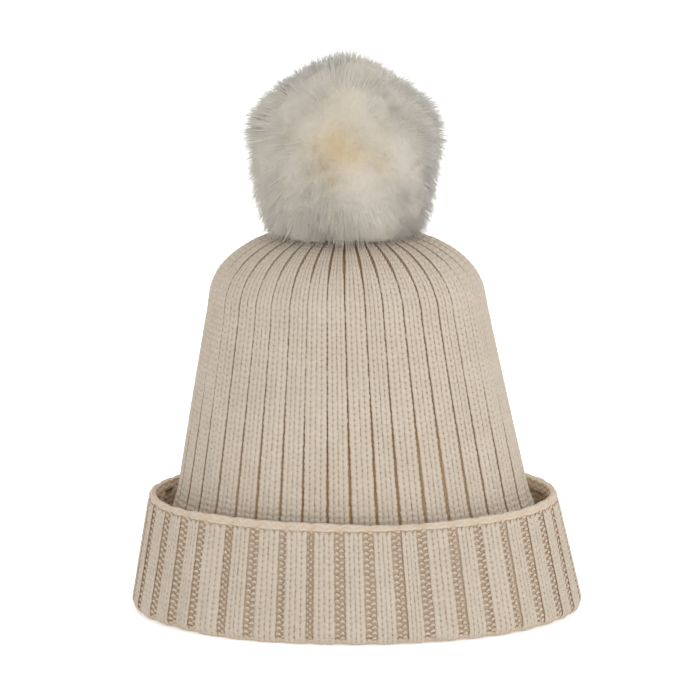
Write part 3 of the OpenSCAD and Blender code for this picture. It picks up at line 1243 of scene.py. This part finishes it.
class HAT_OT_cuff(HatOperator):
    """Knit the turned-up cuff: ground fabric, ribs, purl grooves and its cast-on edge"""

    bl_idname = "hat.cuff"
    bl_label = "Cuff"

    SPREAD = 0.07
    LEVELS = 100
    # Where the fabric lies between the ribs' stitches, and how far it swells at a band, in mm.
    SUNK, SWELL = -0.85, 1.0
    # The wrong side starts this far below the lip, ends at this height and lies this deep.
    INSIDE_TOP, INSIDE_FOOT, INSIDE = 5 * MM, 9 * MM, -3.4 * MM
    # The way on under the fold to the crown's wall: how far in, and at what height, in mm.
    UNDER_FOLD = ((6.0, 7.5), (10.2, 7.0), (10.2, 4.0), (9.4, 2.2), (6.5, 1.2))
    # How much painted shade darkens the deepest grooves, here where they are stretched open.
    SHADE = 0.2
    PURL_SINK = 0.2 * MM
    PURL_DEPTH = 0.9

    def make(self, scene):
        knit = scene.hat_knit
        cloth = cuff_cloth(knit.fold_round)
        half_rib = math.pi / knit.ribs
        ribs = Ribs(knit, BACK + half_rib, knit.cuff_share, self.SPREAD, knit.seed + 1)
        self.lip = cloth.reach[np.argmax(cloth.rows[:, 3])]
        ribs.between = (cloth.height_at(RIM_LOW.z), self.lip)
        ribs.depth = knit.cuff_depth
        fabric = self.ground(cloth, ribs)
        stitches = self.ribs(knit, cloth, ribs) + self.purl(knit, cloth, ribs)
        flat = (cloth.girth(self.lip / 2), cloth.length + knit.fold_round)

    def ground(self, cloth, ribs):
        levels = np.linspace(0, cloth.length, self.LEVELS)
        # The fabric swells to a smooth band along both edges, where no rib stands out of it.
        band = np.array([self.banded(ribs, v) for v in levels])
        lifts = (self.SUNK + self.SWELL * band) * MM
        outer = [ground_ring(cloth, ribs, level, lift) for level, lift in zip(levels, lifts)]
        # The wrong side runs back down within the cuff, then under the fold to the crown's wall.
        foot = cloth.height_at(self.INSIDE_FOOT)
        down = np.linspace(self.lip - self.INSIDE_TOP, foot, 14)
        inner = [ground_ring(cloth, ribs, level, self.INSIDE, HAT_OT_crown.INNER_DEPTH) for level in down]
        rib = np.arange(ribs.count * RIB_POINTS) / RIB_POINTS
        around = ribs.angle(rib)
        stub = []
        for inward, height in self.UNDER_FOLD:
            point = cloth.place(around, foot, -inward * MM)[0]
            point[:, 2] = height * MM
            uvs = np.stack([rib, np.full_like(rib, height)], 1)
            # Under the fold the fabric gets a little painted shade all over.
            stub.append((point, uvs, np.full_like(rib, 0.2)))
        piece = ground_piece("cuff_fabric", outer + inner + stub, self.SHADE)
        return finish(piece, ground_material(), "hat", "cuff_knit", "turned_cuff")

    def banded(self, ribs, along):
        """1 on the smooth bands along the edges, 0 on the ribs between them."""
        low, high = ribs.between
        inside = min(along - low, high - along)
        return 1 - smooth_step((inside - 0.65 * ribs.edge) / (0.35 * ribs.edge))

    def rows(self, ribs, row):
        """Where the rows of stitches between the two bands lie."""
        low, high = ribs.between
        return np.arange(low + 0.8 * ribs.edge, high - 0.85 * ribs.edge, row)

    def ribs(self, knit, cloth, ribs):
        rows = self.rows(ribs, knit.row)
        guides = column_guides(cloth, ribs, rows, KNIT_SINK, knit.row, knit.yarn_depth, tilt=KNIT_TILT)
        parts = quarters(guides[0], 0.0)
        stitch = knit_stitch()
        return knitted("cuff_stitches_", parts, guides, stitch, knit.seed + 2, "cuff_knit", "turned_cuff")

    def purl(self, knit, cloth, ribs):
        rows = self.rows(ribs, knit.row)
        depth = knit.yarn_depth * self.PURL_DEPTH
        guides = column_guides(cloth, ribs, rows, self.PURL_SINK, knit.row, depth, purl=True)
        parts = halves(guides[0])
        stitch = purl_stitch()
        return knitted("cuff_purl_", parts, guides, stitch, knit.seed + 3, "cuff_knit", "turned_cuff")


class FurBall:
    """The pompom's shape: the cloth ball that the hairs grow from and how far they reach."""

    # The parting is where the pile is combed away from, at the front and a little up.
    PARTING = unit(np.array([-0.08, -0.97, 0.20]))
    # The lowest direction in which anything grows, as the height of a unit direction.
    NECK = -0.86
    # Points round a closed piece of the ball.
    COLUMNS = 144
    # Thickness of the backing.
    CLOTH = 1.6 * MM
    PLEATS = 24
    LOBES = 5
    LOBE_RISE = 0.035
    # How much longer the hairs below the middle would be if nothing stopped them.
    UNDERSIDE = 1.35
    # How far the hairs droop, and how far a lock, a wisp and a single hair go astray.
    DROOP = 0.12
    LOCK_SWERVE, WISP_SWERVE, HAIR_SWERVE = 1.8 * MM, 1.4 * MM, 0.7 * MM
    # Only what rises out of the underfur is drawn.
    STEPS = np.array([0.5, 0.72, 0.88, 1.0])
    TAPER = np.array([0.9, 1.0, 0.7, 0.15])

    def __init__(self, fur):
        low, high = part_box("fur_backing")
        pile_low, pile_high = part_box("fur_pile")
        self.radius = (high.x - low.x) / 2
        self.centre = np.array([(high.x + low.x) / 2, (high.y + low.y) / 2, high.z - self.radius])
        self.half_width = (pile_high.x - pile_low.x) / 2
        self.top = pile_high.z - self.centre[2]
        self.fall = fur.fall
        self.crown = crown_cloth().rows

    def reach(self, directions):
        """How far the fur's outline lies from the middle in each direction."""
        # Soft lobes round the outline keep it from being a perfect ball.
        around = np.arctan2(directions[..., 0], directions[..., 2])
        flatness = directions[..., 0] ** 2 + directions[..., 2] ** 2
        lobes = 1 + self.LOBE_RISE * (np.cos(self.LOBES * around) - 0.5) * flatness
        across = np.hypot(directions[..., 0], directions[..., 1]) / (self.half_width * lobes)
        height = np.where(directions[..., 2] > 0, self.top * lobes, self.fall * self.UNDERSIDE)
        outline_reach = 1 / np.sqrt(across**2 + (directions[..., 2] / height) ** 2)
        lowest = self.fall / np.maximum(-directions[..., 2], 1e-6)
        return np.where(directions[..., 2] < 0, np.minimum(outline_reach, lowest), outline_reach)

    def comb(self, roots, amount, droop):
        """Turns directions away from the parting, and a little down."""
        cosine = roots @ self.PARTING
        away = roots * cosine[:, None] - self.PARTING
        down = np.array([0.0, 0.0, -1.0]) * np.sqrt(np.clip(1 - roots[:, 2:] ** 2, 0, 1))
        return unit(roots + away * amount + down * droop)

    def root_shade(self, directions):
        """How much painted shade of its roots the pile shows, in yellow: most at the parting and in a streak
        to its right.
        """
        off = directions - self.PARTING
        heart = np.exp(-(off**2).sum(-1) / 0.045)
        streak = np.exp(-(((off[..., 2] + 0.12) / 0.07) ** 2)) * smooth_step(off[..., 0] / 0.15)
        return heart * 0.75 + streak * smooth_step((0.75 - off[..., 0]) / 0.3) * (off[..., 1] < 0.6) * 0.4

    def scatter(self, rng, number):
        """Even random directions all over the ball, without its neck."""
        found = unit(rng.normal(size=(number * 2, 3)))
        return found[found[:, 2] > self.NECK][:number]

    def tips(self, roots, fur):
        way = self.comb(roots, fur.comb, self.DROOP)
        return way * self.reach(way)[:, None]

    def hairs(self, fur):
        """Every hair's points, and at each its thickness, travel from the root, tone and warmth."""
        rng = np.random.default_rng(fur.seed)
        roots = self.scatter(rng, fur.hairs)
        locks = self.gather(rng, roots, fur.locks)
        wisps = self.gather(rng, roots, fur.wisps)
        grown = 0.93 + 0.10 * rng.random((len(roots), 1)) - 0.25 * rng.random((len(roots), 1)) ** 6
        own = self.tips(roots, fur) * grown * (0.97 + 0.05 * locks.random)
        drawn = self.tips(locks.heart, fur) * grown + locks.swerve * self.LOCK_SWERVE
        fine = self.tips(wisps.heart, fur) * grown + wisps.swerve * self.WISP_SWERVE
        tip = own + (drawn - own) * fur.cling * 0.55 + (fine - own) * 0.4 * fur.cling
        tip += rng.normal(size=tip.shape) * self.HAIR_SWERVE
        base = roots * self.radius
        length = np.linalg.norm(tip - base, axis=1)[:, None]
        middle = base + roots * length * 0.45 + (tip - base) * 0.2
        t = self.STEPS[None, :, None]
        lines = (1 - t) ** 2 * base[:, None] + 2 * t * (1 - t) * middle[:, None] + t**2 * tip[:, None]
        lines = self.rest_on_crown(lines + self.centre, fur.clearance)
        tone = locks.random * 0.5 + wisps.random * 0.25 + rng.random((len(roots), 1)) * 0.25
        # Painted shade of the roots, more in some locks than in others.
        warm = self.root_shade(roots)[:, None] * (0.4 + 0.9 * locks.random)
        each = np.zeros(lines.shape[:2])
        looks = {"taper": self.TAPER, "along": self.STEPS, "tone": tone, "warm": warm}
        return lines, {name: amounts + each for name, amounts in looks.items()}

    def underfur(self, fur):
        """A soft, slightly lumpy ball with a dimple round the neck."""
        rings, columns = 72, self.COLUMNS
        polar = np.linspace(0.0, math.acos(self.NECK), rings)[1:, None]
        around = np.arange(columns)[None, :] / columns * FULL_TURN
        ways = np.stack(
            np.broadcast_arrays(
                np.sin(polar) * np.cos(around), np.sin(polar) * np.sin(around), np.cos(polar)
            ),
            -1,
        ).reshape(-1, 3)
        lumps = np.sin(ways @ np.array([9.0, 5.0, 7.0])) + np.sin(ways @ np.array([-6.0, 11.0, 4.0]) + 1.0)
        size = self.radius + (self.reach(ways) - self.radius) * (fur.underfur + 0.03 * lumps)
        points = self.rest_on_crown((self.centre + ways * size[:, None])[:, None], fur.clearance)
        peak = self.radius + (self.top - self.radius) * fur.underfur
        poles = self.centre + np.array([[0.0, 0.0, peak], [0.0, 0.0, -0.9 * self.radius]])
        piece = between_poles("underfur", points.reshape(rings - 1, columns, 3), *poles)
        # Painted shade of the roots at the parting, for the underfur's colour.
        keep_attribute(piece, "warm", "FLOAT", self.root_shade(np.concatenate([ways, np.zeros((2, 3))])))
        return piece

    def turned(self, name, profile, swell):
        """A closed piece round the ball's upright axis. The profile runs from pole to pole, as
        radius and height; swell says how far each of its points stands out on the way round."""
        around = np.arange(self.COLUMNS) / self.COLUMNS * FULL_TURN
        radius = profile[1:-1, :1] + swell(profile[1:-1], around[None])
        x, y, z = np.broadcast_arrays(radius * np.cos(around), radius * np.sin(around), profile[1:-1, 1:])
        poles = [self.centre + (0.0, 0.0, profile[end, 1]) for end in (0, -1)]
        return between_poles(name, self.centre + np.stack([x, y, z], -1), *poles)

    def backing(self):
        """The cloth ball that the pile grows from, pleated where its drawstring closes it."""
        middle, half = box_middle("drawstring")
        neck = half[0] - 2 * half[2] - 0.2 * MM
        foot = middle[2] - half[2] - self.centre[2]
        turn = np.linspace(0, math.pi - math.asin(neck / self.radius), 48)
        thin = self.CLOTH / 2
        outer = np.column_stack([self.radius * np.sin(turn), self.radius * np.cos(turn)])
        outer = np.concatenate([outer, [(neck, foot + thin), (neck - thin / 2, foot)]])
        inner = outer[-3::-1] * (1 - thin * 2 / self.radius)
        inner[0, 0] = neck - thin * 2

        def pleats(profile, around):
            near = smooth_step((-profile[:, 1:] - 0.45 * self.radius) / (0.5 * self.radius))
            return near * 0.5 * MM * (np.cos(self.PLEATS * around) - 1)

        return self.turned("pompom_backing", np.concatenate([outer, inner]), pleats)

    def wadding(self):
        """Lumpy stuffing, with a well in it for the anchor button and the knot."""
        radius = self.radius - self.CLOTH - 0.3 * MM
        well = box_middle("anchor_button")[1][0] + 0.4 * MM
        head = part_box("tie_loop")[1].z + 0.6 * MM - self.centre[2]
        turn = np.linspace(0, math.pi - math.asin(well / radius), 48)
        outer = np.column_stack([radius * np.sin(turn), radius * np.cos(turn)])
        wall = [(well, outer[-1, 1] * (1 - k) + head * k) for k in (0.3, 0.6, 0.9)]
        wall += [(well * 0.8, head), (0.0, head)]

        def lumps(profile, around):
            wave = np.sin(5 * around + 260 * profile[:, 1:]) + np.sin(9 * around - 410 * profile[:, 1:])
            open_part = (profile[:, :1] > well * 1.05) * smooth_step(profile[:, :1] / (8 * MM))
            return open_part * 0.4 * MM * (wave - 2)

        return self.turned("pompom_wadding", np.concatenate([outer, wall]), lumps)

    def gather(self, rng, roots, number):
        """Shares the roots out between a number of hearts. For each root: the heart of its lock,
        and the lock's own swerve and random number."""
        hearts = self.scatter(rng, number)
        tree = kdtree.KDTree(len(hearts))
        for i, heart in enumerate(hearts):
            tree.insert(heart, i)
        tree.balance()
        nearest = np.array([tree.find(root)[1] for root in roots])
        swerve = rng.normal(size=hearts.shape)[nearest]
        random = rng.random(len(hearts))[nearest, None]
        return SimpleNamespace(heart=hearts[nearest], swerve=swerve, random=random)

    def rest_on_crown(self, lines, clearance):
        """Lifts what hangs too low on to the crown below it."""
        points = lines.reshape(-1, 3)
        low = np.flatnonzero(points[:, 2] < self.crown[-1, 3] + 8 * MM)
        x, y = points[low, 0, None], points[low, 1, None]
        spread = ((x - self.crown[:, 0]) / self.crown[:, 1]) ** 2 + (y / self.crown[:, 2]) ** 2
        rows = np.clip((spread < 1).sum(1), 0, len(self.crown) - 1)
        points[low, 2] = np.maximum(points[low, 2], self.crown[rows, 3] + clearance)
        return points.reshape(lines.shape)


def between_poles(name, rings, first, last):
    """A closed piece from rings of points and the pole beyond each end."""
    count, columns = rings.shape[:2]
    points = np.concatenate([rings.reshape(-1, 3), [first, last]])
    faces = [tuple(f) for f in grid_faces(count, columns)]
    start = (count - 1) * columns
    for k in range(columns):
        after = (k + 1) % columns
        faces.append((k, len(points) - 2, after))
        faces.append((start + k, start + after, len(points) - 1))
    return outward(new_mesh(name, points, faces))


class HAT_OT_pompom(HatOperator):
    """Grow the pompom's fur over its cloth ball and stuff it"""

    bl_idname = "hat.pompom"
    bl_label = "Pompom"

    HAIR_SIDES = 3
    # How far the hairs shade like the ball that they make up.
    SOFTNESS = 0.8

    def make(self, scene):
        fur = scene.hat_fur
        ball = FurBall(fur)
        lines, looks = ball.hairs(fur)
        count, steps = lines.shape[:2]
        first = np.arange(count * steps).reshape(count, steps)
        edges = np.stack([first[:, :-1], first[:, 1:]], -1).reshape(-1, 2).tolist()
        piece = new_mesh("fur_hairs", lines.reshape(-1, 3), [], edges=edges)
        for name, amounts in looks.items():
            keep_attribute(piece, name, "FLOAT", amounts)
        values = {
            "Radius": fur.hair_radius,
            "Sides": self.HAIR_SIDES,
            "Heart": ball.centre.tolist(),
            "Softness": self.SOFTNESS,
            "Material": fur_material(),
        }
        apply_tree(piece, hair_tree(), values)
        finish(piece, None, "pompom", "fur", "fur_pile")
        wool = finish(ball.underfur(fur), underfur_material(), "pompom", "fur", "fur_pile")
        cloth = finish(ball.backing(), backing_material(), "pompom", "backing", "fur_backing")
        stuffing = finish(ball.wadding(), wadding_material(), "pompom", "filling", "stuffing")


def dress(node, material):
    """Gives a CAD node that keeps its own shape its finished material."""
    mesh = frame["nodes"][node].data
    mesh.materials.clear()
    mesh.materials.append(material)


def box_middle(node):
    """The middle of a CAD node's box, and half its size."""
    low, high = (np.array(corner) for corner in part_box(node))
    return (low + high) / 2, (high - low) / 2


def overhand_knot(middle, radius, cord_radius):
    """A closed knot of cord that just fills a ball."""
    t = np.linspace(0, FULL_TURN, 96, endpoint=False)
    spread = (radius - cord_radius) / 3
    x = np.sin(t) + 2 * np.sin(2 * t)
    y = np.cos(t) - 2 * np.cos(2 * t)
    z = -1.4 * np.sin(3 * t)
    path = middle + spread * np.stack([x, y, z], 1)
    return plied(path, cord_radius, 2, 12, 6, closed=True)


class HAT_OT_trims(HatOperator):
    """Sew the two seams, draw the gathering yarn tight and knot the pompom's tie"""

    bl_idname = "hat.trims"
    bl_label = "Trims"

    RIDGE_SIDES = 12
    RIDGE_HALF_WIDTH = 2.5 * MM
    # How thick a seam's ridge is, as a share of its width.
    RIDGE_FLATNESS = 0.22
    # One zigzag of the binding thread for each row of stitches, in so many steps.
    ZIGZAG, ZIGZAG_STEPS = 2.85 * MM, 8
    BINDING_RADIUS = 0.24 * MM
    SHANK_WINDS = 10
    SHANK_THREAD_RADIUS = 0.5 * MM
    # Radii of the knots' cord, of one of its two ends and of both together.
    KNOT_CORD, END_CORD, DOUBLED_CORD = 1.1 * MM, 1.1 * MM, 2 * MM
    INNER_KNOT_CORD = 1.25 * MM

    def make(self, scene):
        for node in ("back_seam", "cuff_seam"):
            self.seam(node)
        self.ring("gather_yarn", "hat", "gather_yarn", thread_material())
        self.ring("drawstring", "pompom", "cord", cord_material())
        self.shank()
        self.inner_tie()
        self.pompom_tie()
        dress("inner_button", button_material())
        dress("anchor_button", button_material())

    def seam(self, node):
        """A soft ridge of cloth edges, bound by a zigzag of thread on the side away from the cloth."""
        corners = vertices_of(node)
        heights = np.unique(np.round(corners[:, 2], 5))
        stations = np.array([corners[np.abs(corners[:, 2] - z) < 1e-5].mean(0) for z in heights])
        reach = travelled(stations)
        steps = np.linspace(0, reach[-1], int(reach[-1] / (1.5 * MM)))
        line = on_line(steps, reach, stations)
        points, faces, uvs = tube(line, np.full(len(line), self.RIDGE_HALF_WIDTH), self.RIDGE_SIDES)
        depth = np.repeat(line[:, 1], self.RIDGE_SIDES)
        points[:, 1] = depth + (points[:, 1] - depth) * self.RIDGE_FLATNESS
        ridge = points, faces, uvs
        twisted(node + "_ridge", ridge, thread_material(), "hat", "seam_thread", node)
        self.binding(node, line)

    def binding(self, node, line):
        """The thread that zigzags over a seam's ridge."""
        reach = travelled(line)
        steps = np.arange(0.5 * self.ZIGZAG, reach[-1] - self.ZIGZAG, self.ZIGZAG / self.ZIGZAG_STEPS)
        path = on_line(steps, reach, line)
        sway = 2 * np.abs((steps / self.ZIGZAG) % 1.0 * 2 - 1) - 1
        path[:, 0] += sway * self.RIDGE_HALF_WIDTH * 0.9
        path[:, 1] -= 0.55 * MM * np.sqrt(np.clip(1.05 - sway**2, 0, 1)) + 0.1 * MM
        radii = np.full(len(path), self.BINDING_RADIUS)
        thread = tube(path, radii, 6, turns=len(steps) / self.ZIGZAG_STEPS)
        twisted(node + "_thread", thread, thread_material(), "hat", "seam_thread", node)

    def ring(self, node, body, slot, material):
        middle, half = box_middle(node)
        cord_radius = half[2]
        around = np.linspace(0, FULL_TURN, 120, endpoint=False)
        ring_radius = half[0] - cord_radius
        path = middle + ring_radius * np.stack([np.cos(around), np.sin(around), 0 * around], 1)
        twisted(node + "_plies", plied(path, cord_radius, 2, 10, 8, closed=True), material, body, slot, node)

    def shank(self):
        """Thread wound round a ball."""
        middle, half = box_middle("tie_shank")
        t = np.linspace(0.06, 0.94, self.SHANK_WINDS * 28)
        polar, around = t * math.pi, t * self.SHANK_WINDS * FULL_TURN
        ball = np.stack([np.sin(polar) * np.cos(around), np.sin(polar) * np.sin(around), np.cos(polar)], 1)
        path = middle + ball * (half[0] - self.SHANK_THREAD_RADIUS)
        radii = np.full(len(t), self.SHANK_THREAD_RADIUS)
        thread = tube(path, radii, 6, turns=self.SHANK_WINDS * 4)
        twisted("shank_windings", thread, cord_material(), "shank", "cord", "tie_shank")

    def inner_tie(self):
        """The two cord ends under the crown, and the knot that holds the button."""
        middle, half = box_middle("tie_knot")
        radius = half[0]
        knot = middle + (0.0, 0.0, radius - half[2])
        parts = [overhand_knot(knot, radius, self.INNER_KNOT_CORD)]
        for side in (-1, 1):
            foot = knot + (side * radius / 2, 0.0, 0.0)
            head = foot + (0.0, 0.0, 2 * (half[2] - radius) + radius)
            parts.append(plied(np.linspace(foot, head, 40), self.END_CORD, 2, 3, 6))
        twisted("inner_tie_cord", joined(parts), cord_material(), "hat", "cord", "tie_knot")

    def pompom_tie(self):
        """The doubled cord that runs up into the pompom, and its knot above the anchor button."""
        middle, half = box_middle("tie_loop")
        radius = half[0]
        knot = middle + (0.0, 0.0, half[2] - radius)
        foot = middle - (0.0, 0.0, half[2])
        cord = plied(np.linspace(foot, knot, 80), self.DOUBLED_CORD, 2, 4, 10)
        parts = [overhand_knot(knot, radius, self.KNOT_CORD), cord]
        twisted("pompom_tie_cord", joined(parts), cord_material(), "tie", "cord", "tie_loop")


class HAT_OT_label(HatOperator):
    """Fold the blank label and sew it along the back seam"""

    bl_idname = "hat.label"
    bl_label = "Label"

    def make(self, scene):
        hinge = next(joint for joint in frame["joints"] if joint["child"] == "label")
        self.pivot = np.array(hinge["pos_m"], float)
        self.up = unit(np.array(hinge["axis"], float))
        corners = vertices_of("care_label") - self.pivot
        middle = corners.mean(0)
        self.away = unit(middle - self.up * (middle @ self.up))
        self.inward = np.cross(self.up, self.away)
        self.low, self.high = (corners @ self.up).min(), (corners @ self.up).max()
        self.near, self.far = (corners @ self.away).min(), (corners @ self.away).max()
        self.fold()
        self.stitches()

    def place(self, away, inward, up):
        """Points from distances off the hinge, off the label's own plane and up the hinge."""
        flat = self.pivot + away[..., None] * self.away + inward[..., None] * self.inward
        return flat + up[..., None] * self.up

    def fold(self):
        """One strip folded back on itself, its two layers lying close."""
        layer, gap = 0.22 * MM, 0.2 * MM
        flat = np.linspace(self.near, self.far - gap, 16)
        bend = np.linspace(math.pi / 2, -math.pi / 2, 7)[1:-1]

        def strip(offset):
            around = self.far - gap + (gap + offset) * np.cos(bend)
            away = np.concatenate([flat, around, flat[::-1]])
            side = 0 * flat + gap + offset
            off = np.concatenate([side, (gap + offset) * np.sin(bend), -side])
            return away, off

        outer, inner = strip(layer / 2), strip(-layer / 2)
        away = np.concatenate([outer[0], inner[0][::-1]])
        off = np.concatenate([outer[1], inner[1][::-1]])
        heights = np.linspace(self.low, self.high, 36)
        reach = (away - self.near) / (self.far - self.near)
        share_up = (heights - self.low) / (self.high - self.low)
        curl = 1.1 * MM * reach[None] ** 2 * (0.6 + 0.4 * np.cos(5 * share_up[:, None] + 0.6))
        grid_away = np.broadcast_to(away, curl.shape)
        grid_up = np.broadcast_to(heights[:, None], curl.shape)
        points = self.place(grid_away, off[None] + curl, grid_up)
        count = len(away)
        faces = [tuple(f) for f in grid_faces(len(heights), count)]
        last = (len(heights) - 1) * count
        for k in range(count // 2 - 1):
            faces.append((k, k + 1, count - 2 - k, count - 1 - k))
            faces.append((last + k + 1, last + k, last + count - 1 - k, last + count - 2 - k))
        uvs = np.stack(np.broadcast_arrays(reach[None], share_up[:, None]), -1)
        piece = outward(new_mesh("folded_label", points.reshape(-1, 3), faces, uvs.reshape(-1, 2)))
        finish(piece, satin_material(), "label", "label", "care_label")
        2 * (self.far - self.near)
        self.high - self.low

    def stitches(self):
        heights = np.linspace(self.low, self.high, 160)
        path = self.place(heights * 0, heights * 0, heights)
        thread = plied(path, 0.5 * MM, 2, 14, 6)
        twisted("label_thread", thread, thread_material(), "hat", "seam_thread", "label_stitches")


class HAT_OT_stage(HatOperator):
    """Lay the floor and set the lights and the camera"""

    bl_idname = "hat.stage"
    bl_label = "Stage"

    # Each light's name, place and size in metres, and watts.
    LIGHTS = (
        ("front_light", (0.5, -2.9, 1.1), 1.6, 17.0),
        ("side_light", (1.6, -1.0, 1.4), 1.6, 8.0),
        ("top_light", (0.0, 0.3, 2.4), 2.0, 8.0),
        ("back_light", (-0.9, 2.6, 1.3), 2.0, 16.0),
    )
    LIT_POINT = Vector((0.0, 0.0, 0.12))
    ROOM_BRIGHTNESS = 0.82
    FLOOR_REACH = 9.0
    # The camera looks at the hat's middle, moved by this.
    OFF_CENTRE = Vector((-3 * MM, 0.0, -9 * MM))

    def make(self, scene):
        stage = scene.hat_stage
        self.floor()
        for light in self.LIGHTS:
            self.light(*light)
        world = bpy.data.worlds.new("pale_room")
        world.use_nodes = True
        background = next(n for n in world.node_tree.nodes if n.type == "BACKGROUND")
        background.inputs["Color"].default_value = (1.0, 1.0, 1.0, 1.0)
        background.inputs["Strength"].default_value = self.ROOM_BRIGHTNESS
        scene.world = world
        scene.view_settings.view_transform = "Standard"
        self.camera(scene, stage)

    def floor(self):
        reach = self.FLOOR_REACH
        corners = [(-reach, -reach, 0), (reach, -reach, 0), (reach, reach, 0), (-reach, reach, 0)]
        floor = new_mesh("floor", corners, [(0, 1, 2, 3)])
        floor.data.materials.append(floor_material())

    def light(self, name, place, size, power):
        data = bpy.data.lights.new(name, "AREA")
        data.shape = "DISK"
        data.size = size
        data.energy = power
        lamp = bpy.data.objects.new(name, data)
        lamp.location = place
        aim = self.LIT_POINT - Vector(place)
        lamp.rotation_euler = aim.to_track_quat("-Z", "Y").to_euler()
        bpy.context.scene.collection.objects.link(lamp)

    def camera(self, scene, stage):
        data = bpy.data.cameras.new("camera")
        data.lens = stage.focal
        data.sensor_width = 36.0
        data.clip_end = 50.0
        camera = bpy.data.objects.new("camera", data)
        middle = (CAD_BOX[0][2] + CAD_BOX[1][2]) / 2
        target = Vector((0.0, 0.0, middle)) + self.OFF_CENTRE
        back = Vector((0.0, -math.cos(stage.elevation), math.sin(stage.elevation)))
        camera.location = target + back * stage.distance
        camera.rotation_euler = Euler((math.pi / 2 - stage.elevation, 0.0, 0.0))
        scene.collection.objects.link(camera)
        scene.camera = camera


class HAT_PT_panel(bpy.types.Panel):
    """Lists the hat's operators and settings"""

    bl_label = "Winter hat"
    bl_idname = "HAT_PT_panel"
    bl_space_type = "VIEW_3D"
    bl_region_type = "UI"
    bl_category = "Hat"

    def draw(self, context):
        column = self.layout.column()
        for operator in OPERATORS:
            column.operator(operator.bl_idname)
        for name in SETTINGS:
            box = column.box()
            group = getattr(context.scene, name)
            for key in group.bl_rna.properties.keys():
                if key not in {"rna_type", "name"}:
                    box.prop(group, key)


SETTINGS = {
    "hat_knit": HatKnitSettings,
    "hat_fur": HatFurSettings,
    "hat_trim": HatTrimSettings,
    "hat_stage": HatStageSettings,
}
OPERATORS = (HAT_OT_stage, HAT_OT_crown, HAT_OT_cuff, HAT_OT_trims, HAT_OT_label, HAT_OT_pompom)


def register():
    for group in SETTINGS.values():
        bpy.utils.register_class(group)
    for operator in OPERATORS:
        bpy.utils.register_class(operator)
    bpy.utils.register_class(HAT_PT_panel)
    for name, group in SETTINGS.items():
        setattr(bpy.types.Scene, name, bpy.props.PointerProperty(type=group))


def unregister():
    for name in SETTINGS:
        delattr(bpy.types.Scene, name)
    bpy.utils.unregister_class(HAT_PT_panel)
    for operator in reversed(OPERATORS):
        bpy.utils.unregister_class(operator)
    for group in reversed(list(SETTINGS.values())):
        bpy.utils.unregister_class(group)


def main():
    register()
    for operator in OPERATORS:
        module, name = operator.bl_idname.split(".")
        getattr(getattr(bpy.ops, module), name)()


if __name__ == "__main__":
    main()
